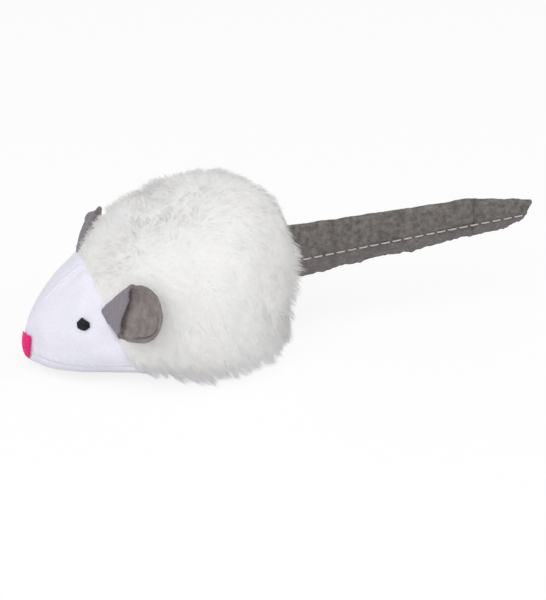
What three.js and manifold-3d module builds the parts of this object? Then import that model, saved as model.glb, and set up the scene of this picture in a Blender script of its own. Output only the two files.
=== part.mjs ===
// Catnip mouse: a small stuffed toy with a velboa head, a long-pile plush body, velour ears and a
// folded velour tail. Millimetres, +Z up. The nose points to -X and the tail to +X, the toy's left
// side faces -Y, and the origin is on the flat underside, below the widest part of the body.
import * as THREE from 'three';
import { mergeVertices, toCreasedNormals } from 'three/addons/utils/BufferGeometryUtils.js';
import Module from 'manifold-3d';

const wasm = await Module();
wasm.setup();

// The stuffed form: head and body together
const bodyLength = 65;
const bodyWidth = 53.6;
const bodyHeight = 42.6;
const noseSetback = 32.5; // nose tip to the origin
const flatDepth = 0.5; // how deep the rounded underside is cut flat
const seamGap = 0.3; // between any two pieces that touch

// Cloths
const velboaThickness = 1.2;
const plushThickness = 3; // backing and the pile that lies on it
const pouchClothThickness = 0.6;
const earClothThickness = 0.5;
const tailClothThickness = 0.9;

// Seams
const neckSetback = 14.2; // nose tip to the neck seam, along the ridge
const neckLean = THREE.MathUtils.degToRad(20);
const undersideSeamHeight = 5.2;
const threadRadius = 0.25;
const neckThreadInset = 2.75;
const ridgeThreadInset = 1.75;

// Embroidery
const eyeSetback = 11; // nose tip to the eye
const eyeHeight = 16.8;
const eyeRadius = 1.5;
const eyeBulge = 0.9;
const noseStitchLow = 2.6;
const noseStitchHigh = 8.8;
const noseStitchWrap = 2.2; // how far the patch runs back along the snout
const noseStitchThickness = 0.6;
const noseStitchWidth = 6.8;

// Ears
const earBaseLow = 14; // heights of the two ends of the base in the neck seam
const earBaseHigh = 21.5;
const earRadius = 6.75;
const earCentreReach = 10.5; // base to the middle of the round part
const earDrop = 0.2; // how far the round part hangs towards the lower end of the base
const earStandOff = 1.4; // how far the round part stands in front of the base, off the fur
const earCupDepth = 0.8;
const earFoldRadius = 0.45;
const earFlapLength = 6.6; // at its longest
const earSplay = THREE.MathUtils.degToRad(49);
const earRise = THREE.MathUtils.degToRad(29);
const earTwist = THREE.MathUtils.degToRad(15); // how far the cup turns up from the line of its base
const earFoldBack = THREE.MathUtils.degToRad(3);
const earFoldForward = THREE.MathUtils.degToRad(55);

// Tail strip, seen from the side: its reach behind the rump, and its height and middle there
const tailSlit = 0.4; // between the two layers
const tailRootHeight = 13.3;
const tailRootMiddle = 22;
const tailCreaseReach = 44;
const tailCreaseHeight = 9.5;
const tailCreaseMiddle = 25.9;
const tailReach = 60;
const tailTipHeight = 5.1;
const tailTipMiddle = 26.2;
const tailTipSlant = 2.4;
const tailLiftInset = 3.4; // rump to the pivot that the tail lifts about, inside the seam
const tailSwingReach = 4; // rump to the pivot that the tail swings about
const tailBendReach = 24;
const tailLift = THREE.MathUtils.degToRad(20);
const stitchLength = 2;
const stitchSpacing = 0.8;

// Filling
const pouchLength = 24;
const pouchWidth = 20;
const pouchThickness = 12;
const pouchHeight = 18; // its middle above the underside
const pouchMouth = 4;

// Outline of the stuffed form at stations evenly spaced in angle, so dense at both ends
const halfWidthShares = [0.115, 0.175, 0.345, 0.515, 0.635, 0.81, 0.94, 1, 0.88, 0.66, 0.4, 0.14, 0.07];
const topShares = [0.21, 0.3, 0.395, 0.5, 0.63, 0.81, 0.88, 0.97, 1, 0.94, 0.82, 0.66, 0.5];
const baseShares = [0.08, 0.065, 0.04, 0.02, 0, 0, 0, 0, 0, 0, 0.05, 0.22, 0.3];
const widestShare = 0.42; // height of the widest line, as a share of the section's height
// Powers of the superellipses above and below the widest line: 2 is an ellipse and more is squarer
const upperPowers = [2.2, 2.5, 2.8, 3, 3.2, 3, 2.7, 2.4, 2.1, 2, 2, 2.1, 2.2];
const lowerPowers = [3, 2.7, 2.4, 2.2, 2, 2.2, 2.5, 2.8, 3.1, 3.3, 3.3, 3.3, 3.3];
const leastSize = seamGap; // what an inset section never shrinks below
const stitchRowShare = 0.31; // height of the topstitch in the strip
const ridgeThreadShares = [0.2, 0.84]; // stations where the ridge thread starts and ends

// Shape of the ear, as shares of the way from its base to the end of its fold, and as angles
const flapShares = [0.42, 1, 0.68, 0.33, 0.08]; // of the flap's longest length, evenly spaced
const foldFadeShares = [0.8, 1.15]; // where the fold opens out
const settleShares = [0, 0.6]; // where the ear turns up and off the fur, of the reach of its middle
const foldAngle = THREE.MathUtils.degToRad(178);
const leastBend = THREE.MathUtils.degToRad(1.2);
const foldEndAngle = THREE.MathUtils.degToRad(2); // round the ear, from straight up
const rimEndAngle = THREE.MathUtils.degToRad(76);
const lowerRimAngle = THREE.MathUtils.degToRad(10);

// Facets
const fine = { rings: 24, sides: 30 };
const coarse = { rings: 16, sides: 20 };
const earFacets = { lowRows: 7, highRows: 4, cup: 6, bend: 4, flap: 3 };
const threadSides = 6;
const seamPoints = 16;
const seamSteps = 28;
const halvings = 30; // of a range that holds a wanted point

const noseX = -noseSetback;
const rumpX = noseX + bodyLength;
const reach = 3 * bodyLength; // how far a cutting block runs past the toy
const tailThickness = 2 * tailClothThickness + tailSlit;

// Value of a table at t from 0 to 1, on a smooth curve through its evenly spaced points
function valueAt(table, t) {
  const last = table.length - 1;
  const place = THREE.MathUtils.clamp(t, 0, 1) * last;
  const i = Math.min(Math.floor(place), last - 1);
  const f = place - i;
  const [b, c] = [table[i], table[i + 1]];
  const a = i > 0 ? table[i - 1] : 2 * b - c;
  const d = i + 2 <= last ? table[i + 2] : 2 * c - b;
  return b + 0.5 * f * (c - a + f * (2 * a - 5 * b + 4 * c - d + f * (3 * (b - c) + d - a)));
}

// Section of the stuffed form at t, grown outwards by grow
function sectionAt(t, grow) {
  const halfWidth = Math.max((bodyWidth / 2) * valueAt(halfWidthShares, t) + grow, leastSize);
  const base = bodyHeight * valueAt(baseShares, t) - flatDepth - grow;
  const top = Math.max(bodyHeight * valueAt(topShares, t) + grow, base + leastSize);
  const x = noseX - grow + ((bodyLength + 2 * grow) * (1 - Math.cos(Math.PI * t))) / 2;
  const middle = base + (top - base) * widestShare;
  const [upperPower, lowerPower] = [valueAt(upperPowers, t), valueAt(lowerPowers, t)];
  return { x, halfWidth, base, top, middle, upperPower, lowerPower };
}

// Point of a section at an angle round it, from the left side over the top
function pointOf(section, angle) {
  const [c, s] = [Math.cos(angle), Math.sin(angle)];
  const power = 2 / (s > 0 ? section.upperPower : section.lowerPower);
  const y = -section.halfWidth * Math.sign(c) * Math.abs(c) ** power;
  const rise = s > 0 ? section.top - section.middle : section.middle - section.base;
  const z = section.middle + rise * Math.sign(s) * Math.abs(s) ** power;
  return new THREE.Vector3(section.x, y, z);
}

// t of the station at x, on the form grown by grow
function stationAt(x, grow) {
  const share = (x - noseX + grow) / (bodyLength + 2 * grow);
  return Math.acos(1 - 2 * THREE.MathUtils.clamp(share, 0, 1)) / Math.PI;
}

function solidOf(geometry) {
  const bare = geometry.clone();
  bare.deleteAttribute('normal');
  bare.deleteAttribute('uv');
  const merged = mergeVertices(bare);
  return new wasm.Manifold(
    new wasm.Mesh({
      numProp: 3,
      vertProperties: new Float32Array(merged.attributes.position.array),
      triVerts: new Uint32Array(merged.index.array),
    }),
  );
}

function geometryOf(solid) {
  const { vertProperties, triVerts } = solid.getMesh();
  const geometry = new THREE.BufferGeometry();
  geometry.setAttribute('position', new THREE.BufferAttribute(vertProperties, 3));
  geometry.setIndex(new THREE.BufferAttribute(triVerts, 1));
  return geometry;
}

function indexed(points, triangles) {
  const geometry = new THREE.BufferGeometry();
  geometry.setAttribute('position', new THREE.Float32BufferAttribute(points.flatMap((p) => [...p]), 3));
  geometry.setIndex(triangles);
  return geometry;
}

// Closed solid through rings of equal counts of points, anticlockwise seen from the last ring.
// A cap is filled as a flat outline in Y and Z.
function ringSolid(rings) {
  const count = rings[0].length;
  const triangles = [];
  for (let i = 0; i < rings.length - 1; i++) {
    for (let j = 0; j < count; j++) {
      const a = i * count + j;
      const b = i * count + ((j + 1) % count);
      triangles.push(a, b, b + count, a, b + count, a + count);
    }
  }
  const start = (rings.length - 1) * count;
  const lastFlat = rings[rings.length - 1].map((p) => new THREE.Vector2(p.y, p.z));
  for (const [a, b, c] of THREE.ShapeUtils.triangulateShape(lastFlat, [])) {
    triangles.push(start + a, start + b, start + c);
  }
  const firstFlat = rings[0].map((p) => new THREE.Vector2(p.y, p.z));
  for (const [a, b, c] of THREE.ShapeUtils.triangulateShape(firstFlat, [])) {
    triangles.push(a, c, b);
  }
  return solidOf(indexed(rings.flat(), triangles));
}

// The stuffed form grown outwards by grow, before its underside is cut flat
function stuffedForm(grow, facets) {
  const rings = [];
  for (let i = 0; i <= facets.rings; i++) {
    const section = sectionAt(i / facets.rings, grow);
    const ring = [];
    for (let j = 0; j < facets.sides; j++) {
      ring.push(pointOf(section, Math.PI - (2 * Math.PI * j) / facets.sides));
    }
    rings.push(ring);
  }
  return ringSolid(rings);
}

function block(low, high) {
  const size = high.map((value, i) => value - low[i]);
  const geometry = new THREE.BoxGeometry(...size);
  geometry.translate(...low.map((value, i) => value + size[i] / 2));
  return geometry;
}

const blockSolid = (low, high) => solidOf(block(low, high));
const leftOf = (y) => blockSolid([-reach, -reach, -reach], [reach, y, reach]);
const rightOf = (y) => blockSolid([-reach, y, -reach], [reach, reach, reach]);
const above = (z) => blockSolid([-reach, -reach, z], [reach, reach, reach]);
const below = (z) => blockSolid([-reach, -reach, -reach], [reach, reach, z]);
const before = (x) => blockSolid([-reach, -reach, -reach], [x, reach, reach]);
const behind = (x) => blockSolid([x, -reach, -reach], [reach, reach, reach]);

// Neck seam: a plane through the ridge that leans forward at the top
const neckX = noseX + neckSetback;
const neckTop = sectionAt(stationAt(neckX, 0), 0).top;

function leaned(geometry) {
  geometry.rotateY(-neckLean);
  geometry.translate(neckX, 0, neckTop);
  return solidOf(geometry);
}

const frontOfNeck = () => leaned(block([-reach, -reach, -reach], [-seamGap / 2, reach, reach]));
const backOfNeck = () => leaned(block([seamGap / 2, -reach, -reach], [reach, reach, reach]));

// Point of the neck seam at an angle round the section, on the form grown by grow
function neckPoint(angle, grow) {
  let x = neckX;
  let point = new THREE.Vector3();
  for (let i = 0; i < halvings; i++) {
    point = pointOf(sectionAt(stationAt(x, grow), grow), angle);
    x = neckX + (neckTop - point.z) * Math.tan(neckLean);
  }
  return point;
}

// Point of the left side of the neck seam at a height
function neckPointAtHeight(height) {
  let [low, high] = [0, Math.PI / 2];
  for (let i = 0; i < halvings; i++) {
    const angle = (low + high) / 2;
    if (neckPoint(angle, 0).z < height) low = angle;
    else high = angle;
  }
  return neckPoint(low, 0);
}

function tube(points, radius) {
  const shape = new THREE.Shape();
  for (let i = 0; i < threadSides; i++) {
    const angle = (2 * Math.PI * i) / threadSides;
    const [x, y] = [radius * Math.cos(angle), radius * Math.sin(angle)];
    if (i === 0) shape.moveTo(x, y);
    else shape.lineTo(x, y);
  }
  const extrudePath = new THREE.CatmullRomCurve3(points);
  const options = { steps: seamSteps, extrudePath, bevelEnabled: false };
  return solidOf(new THREE.ExtrudeGeometry(shape, options));
}

// Thread round the neck inside the seam, from one edge of the underside panel to the other
function neckThread(radius) {
  const points = [];
  for (let i = 0; i <= seamPoints; i++) {
    points.push(neckPoint((Math.PI * i) / seamPoints, -neckThreadInset));
  }
  return tube(points, radius);
}

// Thread along the ridge seam, from the snout to above the tail
function ridgeThread(radius) {
  const points = [];
  for (let i = 0; i <= seamPoints; i++) {
    const t = THREE.MathUtils.lerp(...ridgeThreadShares, i / seamPoints);
    const { x, top } = sectionAt(t, -ridgeThreadInset);
    points.push(new THREE.Vector3(x, 0, top));
  }
  return tube(points, radius);
}

// Tail strip: one cloth folded lengthwise, its fold at the top and its raw edges at the bottom
const tailStations = [
  [rumpX - tailLiftInset - tailRootHeight, tailRootMiddle, tailRootHeight],
  [rumpX, tailRootMiddle, tailRootHeight],
  [rumpX + tailCreaseReach, tailCreaseMiddle, tailCreaseHeight],
  [rumpX + tailReach, tailTipMiddle, tailTipHeight],
];

// Middle and height of the strip at x
function stripAt(x) {
  const i = x < tailStations[1][0] ? 0 : x < tailStations[2][0] ? 1 : 2;
  const [from, to] = [tailStations[i], tailStations[i + 1]];
  const f = (x - from[0]) / (to[0] - from[0]);
  return [THREE.MathUtils.lerp(from[1], to[1], f), THREE.MathUtils.lerp(from[2], to[2], f)];
}

// The strip's section at x: two layers, with the slit between them open at the bottom
function tailSection(x, middle, height) {
  const half = tailThickness / 2;
  const [low, high] = [middle - height / 2, middle + height / 2];
  const points = [[half, low]];
  const arcSteps = 4;
  for (let i = 0; i <= arcSteps; i++) {
    const angle = (Math.PI * i) / arcSteps;
    points.push([half * Math.cos(angle), high - half + half * Math.sin(angle)]);
  }
  points.push([-half, low], [-tailSlit / 2, low], [-tailSlit / 2, high - half]);
  points.push([tailSlit / 2, high - half], [tailSlit / 2, low]);
  return points.map(([y, z]) => new THREE.Vector3(x, y, z));
}

const tailStrip = () => ringSolid(tailStations.map((station) => tailSection(...station)));

// Topstitch thread over a stretch of the tail: dashes on both faces and legs through the cloth
function topstitch(fromX, toX) {
  const pitch = stitchLength + stitchSpacing;
  const count = Math.max(Math.floor((toX - fromX - stitchSpacing) / pitch), 1);
  const side = tailThickness / 2 + seamGap;
  const r = threadRadius;
  const clear = r + seamGap;
  const start = fromX + (toX - fromX - count * pitch + stitchSpacing) / 2;
  const thread = [];
  const holes = [];
  for (let i = 0; i < count; i++) {
    const x = start + i * pitch;
    const end = x + stitchLength;
    const next = x + pitch;
    thread.push(blockSolid([x - r, -side - 2 * r, -r], [end + r, -side, r]));
    if (i === count - 1) break;
    thread.push(blockSolid([end - r, -side - r, -r], [end + r, side + r, r]));
    thread.push(blockSolid([end - r, side, -r], [next + r, side + 2 * r, r]));
    thread.push(blockSolid([next - r, -side - r, -r], [next + r, side + r, r]));
    holes.push(alongStitchRow(blockSolid([end - clear, -side, -clear], [next + clear, side, clear])));
  }
  return { thread: alongStitchRow(thread.reduce((all, one) => all.add(one))), holes };
}

// Lifts a row of stitches from height zero to the row's line on the strip
function alongStitchRow(solid) {
  const geometry = geometryOf(solid);
  const position = geometry.attributes.position;
  for (let i = 0; i < position.count; i++) {
    const [middle, height] = stripAt(position.getX(i));
    position.setZ(i, position.getZ(i) + middle + (stitchRowShare - 0.5) * height);
  }
  return solidOf(geometry);
}

// Stretch of the strip seen from above: round at the pivot it turns on, square at its far end
function stretchSeenFromAbove(pivotX, endX) {
  const half = tailThickness / 2;
  const shape = new THREE.Shape();
  shape.absarc(pivotX, 0, half, Math.PI / 2, (3 * Math.PI) / 2, false);
  shape.lineTo(endX, -half - seamGap);
  shape.lineTo(endX, half + seamGap);
  shape.lineTo(pivotX, half + seamGap);
  const options = { depth: reach, bevelEnabled: false, curveSegments: 8 };
  return solidOf(new THREE.ExtrudeGeometry(shape, options));
}

// Root of the strip seen from the side: a round end in the rump seam, grown by grow
function rootSeenFromSide(grow, endX, width, turn) {
  const radius = tailRootHeight / 2 + grow;
  const shape = new THREE.Shape();
  shape.absarc(0, 0, radius, Math.PI / 2, (3 * Math.PI) / 2, false);
  shape.lineTo(endX - pivotLiftX, -radius);
  shape.lineTo(endX - pivotLiftX, radius);
  const options = { depth: width, bevelEnabled: false, curveSegments: 7 };
  const geometry = new THREE.ExtrudeGeometry(shape, options);
  geometry.translate(0, 0, -width / 2);
  geometry.rotateX(Math.PI / 2);
  geometry.rotateY(turn);
  geometry.translate(pivotLiftX, 0, tailRootMiddle);
  return solidOf(geometry);
}

const pivotLiftX = rumpX - tailLiftInset;
const pivotSwingX = rumpX + tailSwingReach;
const pivotBendX = rumpX + tailBendReach;
const pivotCurlX = rumpX + tailCreaseReach;
const pivotGap = tailThickness / 2 + seamGap; // from a pivot back to the end of the stretch before

// Room for the tail's root in the rump seam, at rest and at both ends of its lift
function rootPocket() {
  const turns = [-tailLift, 0, tailLift];
  const width = tailThickness + 2 * seamGap;
  return turns
    .map((turn) => rootSeenFromSide(seamGap, rumpX + 2 * tailRootHeight, width, turn))
    .reduce((all, one) => all.add(one));
}

// Closed sheet of a thickness round a grid of points, offset from it along its normals
function sheetSolid(grid, offset, thickness) {
  const rows = grid.length;
  const columns = grid[0].length;
  const clampTo = (i, count) => THREE.MathUtils.clamp(i, 0, count - 1);
  const at = (i, j) => grid[clampTo(i, rows)][clampTo(j, columns)];
  const normalAt = (i, j) => {
    const along = at(i + 1, j).clone().sub(at(i - 1, j));
    const across = at(i, j + 1).clone().sub(at(i, j - 1));
    return along.cross(across).normalize();
  };
  const face = (distance) =>
    grid.flatMap((row, i) => row.map((p, j) => p.clone().addScaledVector(normalAt(i, j), distance)));
  const points = [...face(offset + thickness / 2), ...face(offset - thickness / 2)];
  const index = (i, j, under) => i * columns + j + (under ? rows * columns : 0);
  const triangles = [];
  const quad = (a, b, c, d) => triangles.push(a, b, c, a, c, d);
  for (let i = 0; i < rows - 1; i++) {
    for (let j = 0; j < columns - 1; j++) {
      quad(index(i, j), index(i + 1, j), index(i + 1, j + 1), index(i, j + 1));
      quad(index(i, j, 1), index(i, j + 1, 1), index(i + 1, j + 1, 1), index(i + 1, j, 1));
    }
    quad(index(i, 0), index(i, 0, 1), index(i + 1, 0, 1), index(i + 1, 0));
    const j = columns - 1;
    quad(index(i, j), index(i + 1, j), index(i + 1, j, 1), index(i, j, 1));
  }
  for (let j = 0; j < columns - 1; j++) {
    quad(index(0, j), index(0, j + 1), index(0, j + 1, 1), index(0, j, 1));
    const i = rows - 1;
    quad(index(i, j), index(i, j, 1), index(i, j + 1, 1), index(i, j + 1));
  }
  return indexed(points, triangles);
}

// The ear's base in the neck seam: its middle, and the way along it, outwards and to the cup's face
const earLow = neckPointAtHeight(earBaseLow);
const earHigh = neckPointAtHeight(earBaseHigh);
const earBase = earLow.clone().add(earHigh).multiplyScalar(0.5);
const earAlong = earHigh.clone().sub(earLow).normalize();
const earOutward = new THREE.Vector3(
  Math.cos(earRise) * Math.cos(earSplay),
  -Math.cos(earRise) * Math.sin(earSplay),
  Math.sin(earRise),
);
earOutward.addScaledVector(earAlong, -earOutward.dot(earAlong)).normalize();
const earFace = earOutward.clone().cross(earAlong);

// Shape of the ear in its own axes: X outwards, Y along the base and Z to the cup's face
const earFoldEnd = earCentreReach + earRadius * Math.sin(foldEndAngle);
const earHalfBase = earLow.distanceTo(earHigh) / 2;
const rimHalf = (out) => Math.sqrt(Math.max(earRadius ** 2 - (out - earCentreReach) ** 2, 0));

// Upper edge of the ear at a distance out: where its fold turns over, then the round rim
function earUpperEdge(out) {
  if (out >= earFoldEnd) return rimHalf(out) - earDrop;
  return THREE.MathUtils.lerp(earHalfBase, rimHalf(earFoldEnd) - earDrop, out / earFoldEnd);
}

function earLowerEdge(out) {
  const rimStart = earCentreReach - earRadius * Math.sin(lowerRimAngle);
  if (out >= rimStart) return -rimHalf(out) - earDrop;
  return THREE.MathUtils.lerp(-earHalfBase, -rimHalf(rimStart) - earDrop, out / rimStart);
}

// Row of points across the ear at a distance out: over the cup, round the fold and down the flap
function earRow(out) {
  const share = out / earFoldEnd;
  const leastLength = earClothThickness;
  const open = THREE.MathUtils.smoothstep(share, ...foldFadeShares);
  const bend = Math.max(foldAngle * (1 - open), leastBend);
  const radius = Math.max(earFoldRadius * bend, leastLength) / bend;
  const flap = Math.max(earFlapLength * valueAt(flapShares, share), leastLength);
  const overhang = bend > Math.PI / 2 ? radius : radius * Math.sin(bend) + flap * Math.cos(bend);
  const start = earUpperEdge(out) - overhang;
  const settled = THREE.MathUtils.smoothstep(out / earCentreReach, ...settleShares);
  const cup = (y) => {
    const away = Math.hypot(out - earCentreReach, y + earDrop) / earRadius;
    return earStandOff * settled - earFoldRadius - earCupDepth * (1 - Math.min(away, 1) ** 2);
  };
  const row = [];
  for (let j = 0; j <= earFacets.cup; j++) {
    const y = THREE.MathUtils.lerp(earLowerEdge(out), start, j / earFacets.cup);
    row.push(new THREE.Vector3(out, y, cup(y)));
  }
  for (let j = 1; j <= earFacets.bend; j++) {
    const angle = (bend * j) / earFacets.bend;
    const z = cup(start) + radius * (1 - Math.cos(angle));
    row.push(new THREE.Vector3(out, start + radius * Math.sin(angle), z));
  }
  const turned = row[row.length - 1];
  for (let j = 1; j <= earFacets.flap; j++) {
    const length = (flap * j) / earFacets.flap;
    const y = turned.y + length * Math.cos(bend);
    row.push(new THREE.Vector3(out, y, turned.z + length * Math.sin(bend)));
  }
  return row.map((p) => p.applyAxisAngle(new THREE.Vector3(1, 0, 0), -earTwist * settled));
}

function earGrid() {
  const { lowRows, highRows } = earFacets;
  const grid = [];
  for (let i = 0; i < lowRows; i++) grid.push(earRow((earFoldEnd * i) / lowRows));
  for (let i = 0; i <= highRows; i++) {
    const angle = THREE.MathUtils.lerp(foldEndAngle, rimEndAngle, i / highRows);
    grid.push(earRow(earCentreReach + earRadius * Math.sin(angle)));
  }
  return grid;
}

// One layer of the left ear, cut back from the stuffed form at every angle that it folds to
function earLayer(offset) {
  const geometry = sheetSolid(earGrid(), offset, earClothThickness);
  geometry.applyMatrix4(new THREE.Matrix4().makeBasis(earOutward, earAlong, earFace));
  geometry.translate(...earBase);
  let layer = solidOf(geometry);
  const steps = 4;
  for (let i = 0; i <= steps; i++) {
    const angle = THREE.MathUtils.lerp(-earFoldForward, earFoldBack, i / steps);
    const form = geometryOf(clearForm);
    form.translate(...earBase.clone().negate());
    form.applyMatrix4(new THREE.Matrix4().makeRotationAxis(earAlong, -angle));
    form.translate(...earBase);
    layer = layer.subtract(solidOf(form));
  }
  return layer;
}

function mirrored(solid) {
  const geometry = geometryOf(solid);
  geometry.scale(1, -1, 1);
  const index = geometry.index;
  for (let i = 0; i < index.count; i += 3) {
    const second = index.getX(i + 1);
    index.setX(i + 1, index.getX(i + 2));
    index.setX(i + 2, second);
  }
  return solidOf(geometry);
}

// Embroidered eye on the left: a low knot seated on the form
function eyeStitches() {
  const x = noseX + eyeSetback;
  const t = stationAt(x, 0);
  const section = sectionAt(t, 0);
  let [low, high] = [-Math.PI / 4, Math.PI / 2];
  for (let i = 0; i < halvings; i++) {
    const angle = (low + high) / 2;
    if (pointOf(section, angle).z < eyeHeight) low = angle;
    else high = angle;
  }
  const centre = pointOf(section, low);
  const smallStep = 0.02;
  const ahead = pointOf(sectionAt(t + smallStep, 0), low);
  const higher = pointOf(section, low + smallStep);
  const normal = higher.sub(centre).cross(ahead.sub(centre)).normalize();
  const upright = new THREE.Vector3(0, 0, 1);
  const geometry = new THREE.SphereGeometry(1, 12, 8);
  geometry.rotateX(Math.PI / 2);
  geometry.scale(eyeRadius, eyeRadius, eyeBulge + seamGap);
  geometry.applyQuaternion(new THREE.Quaternion().setFromUnitVectors(upright, normal));
  geometry.translate(...centre);
  return solidOf(geometry).subtract(clearForm);
}

// Patch of satin stitches wrapped over the tip of the snout
function noseStitches() {
  const patch = stuffedForm(seamGap + noseStitchThickness, fine).subtract(clearForm);
  const half = noseStitchWidth / 2;
  const low = [-reach, -half, noseStitchLow];
  const high = [noseX + noseStitchWrap, half, noseStitchHigh];
  return patch.intersect(blockSolid(low, high));
}

// Pillow shape of the catnip pouch, grown by grow
function pillow(grow) {
  const geometry = new THREE.SphereGeometry(1, 16, 10);
  geometry.scale(pouchLength / 2 + grow, pouchWidth / 2 + grow, pouchThickness / 2 + grow);
  geometry.translate(0, 0, pouchHeight);
  return solidOf(geometry);
}

function catnipPouch() {
  const half = pouchMouth / 2;
  const mouth = blockSolid([-reach, -half, pouchHeight - half], [0, half, pouchHeight + half]);
  return pillow(0).subtract(pillow(-pouchClothThickness)).subtract(mouth);
}

// Fibre filling of the whole form, clear of every cloth, thread and pocket
function filling() {
  const inVelboa = stuffedForm(-velboaThickness - seamGap, coarse);
  const inPlush = stuffedForm(-plushThickness - seamGap, coarse);
  const belowSeam = below(undersideSeamHeight - seamGap / 2);
  return inPlush
    .add(inVelboa.intersect(frontOfNeck()))
    .add(inVelboa.intersect(belowSeam))
    .subtract(neckThread(threadRadius + seamGap))
    .subtract(ridgeThread(threadRadius + seamGap))
    .subtract(rootPocket())
    .subtract(pillow(seamGap));
}

// Cloth skin of a thickness round the whole form, with its underside cut flat
function skin(thickness) {
  return stuffedForm(0, fine).subtract(stuffedForm(-thickness, coarse)).intersect(above(0));
}

// What lies on the form is cut back to here
const clearForm = stuffedForm(seamGap, fine);

const materials = {
  velboa: new THREE.MeshStandardMaterial({ color: '#ecebf5', roughness: 0.95, metalness: 0 }),
  plush: new THREE.MeshStandardMaterial({ color: '#e6e5e2', roughness: 1, metalness: 0 }),
  velour: new THREE.MeshStandardMaterial({ color: '#6e6866', roughness: 0.95, metalness: 0 }),
  earVelour: new THREE.MeshStandardMaterial({ color: '#867d7e', roughness: 0.95, metalness: 0 }),
  pinkThread: new THREE.MeshStandardMaterial({ color: '#de357a', roughness: 0.6, metalness: 0 }),
  blackThread: new THREE.MeshStandardMaterial({ color: '#15171f', roughness: 0.6, metalness: 0 }),
  paleThread: new THREE.MeshStandardMaterial({ color: '#beb9b4', roughness: 0.7, metalness: 0 }),
  fibre: new THREE.MeshStandardMaterial({ color: '#f6f5f1', roughness: 1, metalness: 0 }),
  nonWoven: new THREE.MeshStandardMaterial({ color: '#eceadf', roughness: 1, metalness: 0 }),
  driedLeaf: new THREE.MeshStandardMaterial({ color: '#7c8457', roughness: 1, metalness: 0 }),
};

function named(name, material, solid) {
  const creaseAngle = Math.PI / 5;
  const own = materials[material].clone();
  const mesh = new THREE.Mesh(toCreasedNormals(geometryOf(solid), creaseAngle), own);
  mesh.name = name;
  return mesh;
}

function coverGroup() {
  const group = new THREE.Group();
  const sides = { left: leftOf(-seamGap / 2), right: rightOf(seamGap / 2) };
  const aboveSeam = above(undersideSeamHeight + seamGap / 2);
  const rootRoom = rootPocket();
  const head = skin(velboaThickness).intersect(frontOfNeck()).intersect(aboveSeam);
  const body = skin(plushThickness)
    .intersect(backOfNeck())
    .intersect(aboveSeam)
    .subtract(neckThread(threadRadius + seamGap))
    .subtract(ridgeThread(threadRadius + seamGap))
    .subtract(rootRoom);
  for (const [side, half] of Object.entries(sides)) {
    group.add(named(`head_${side}_panel`, 'velboa', head.intersect(half)));
    group.add(named(`body_${side}_panel`, 'plush', body.intersect(half)));
  }
  const underside = skin(velboaThickness).intersect(below(undersideSeamHeight - seamGap / 2));
  group.add(named('underside_panel', 'velboa', underside));
  group.add(named('neck_seam_thread', 'paleThread', neckThread(threadRadius)));
  group.add(named('ridge_seam_thread', 'paleThread', ridgeThread(threadRadius)));
  return group;
}

function faceGroup() {
  const group = new THREE.Group();
  const eye = eyeStitches();
  group.add(named('nose_stitches', 'pinkThread', noseStitches()));
  group.add(named('left_eye_stitches', 'blackThread', eye));
  group.add(named('right_eye_stitches', 'blackThread', mirrored(eye)));
  return group;
}

function earGroup() {
  const group = new THREE.Group();
  const layers = { inner: 0, outer: -earClothThickness - seamGap };
  for (const [name, offset] of Object.entries(layers)) {
    const layer = earLayer(offset);
    group.add(named(`left_ear_${name}_layer`, 'earVelour', layer));
    group.add(named(`right_ear_${name}_layer`, 'earVelour', mirrored(layer)));
  }
  return group;
}

function tailGroup() {
  const group = new THREE.Group();
  const strip = tailStrip();
  const rootEnd = pivotSwingX - pivotGap;
  const root = strip.intersect(rootSeenFromSide(0, rootEnd, 2 * tailThickness, 0));
  group.add(named('tail_root', 'velour', root));
  const stretches = {
    front: [pivotSwingX, pivotBendX - pivotGap],
    rear: [pivotBendX, pivotCurlX - pivotGap],
    tip: [pivotCurlX, rumpX + tailReach],
  };
  const slantCut = block([0, -reach, -reach], [reach, reach, 0]);
  slantCut.rotateY(Math.atan2(tailTipSlant, tailTipHeight));
  slantCut.translate(rumpX + tailReach, 0, tailTipMiddle + tailTipHeight / 2);
  const slant = solidOf(slantCut);
  for (const [name, [from, to]] of Object.entries(stretches)) {
    const slantRoom = name === 'tip' ? tailTipSlant : 0;
    const { thread, holes } = topstitch(from + seamGap, to - seamGap - slantRoom);
    const whole = strip.intersect(stretchSeenFromAbove(from, to)).subtract(slant);
    const stretch = holes.reduce((cloth, hole) => cloth.subtract(hole), whole);
    group.add(named(`tail_${name}`, 'velour', stretch));
    group.add(named(`tail_topstitch_${name}`, 'paleThread', thread));
  }
  return group;
}

function fillingGroup() {
  const group = new THREE.Group();
  const whole = filling();
  group.add(named('front_filling', 'fibre', whole.intersect(before(-seamGap / 2))));
  group.add(named('rear_filling', 'fibre', whole.intersect(behind(seamGap / 2))));
  group.add(named('catnip_pouch', 'nonWoven', catnipPouch()));
  group.add(named('dried_catnip', 'driedLeaf', pillow(-pouchClothThickness - seamGap)));
  return group;
}

const mouse = new THREE.Group();
mouse.add(coverGroup(), faceGroup(), earGroup(), tailGroup(), fillingGroup());

export default mouse;
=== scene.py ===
# Catnip mouse: a small stuffed plush toy with a velboa head, long-pile plush on its body, velour ears
# and a folded velour tail. Lengths are in millimetres until a mesh is made, the nose points to -X,
# the tail to +X and the toy's left side to -Y.
import math

import bpy
import numpy as np
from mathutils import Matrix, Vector
from mathutils.kdtree import KDTree


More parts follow.
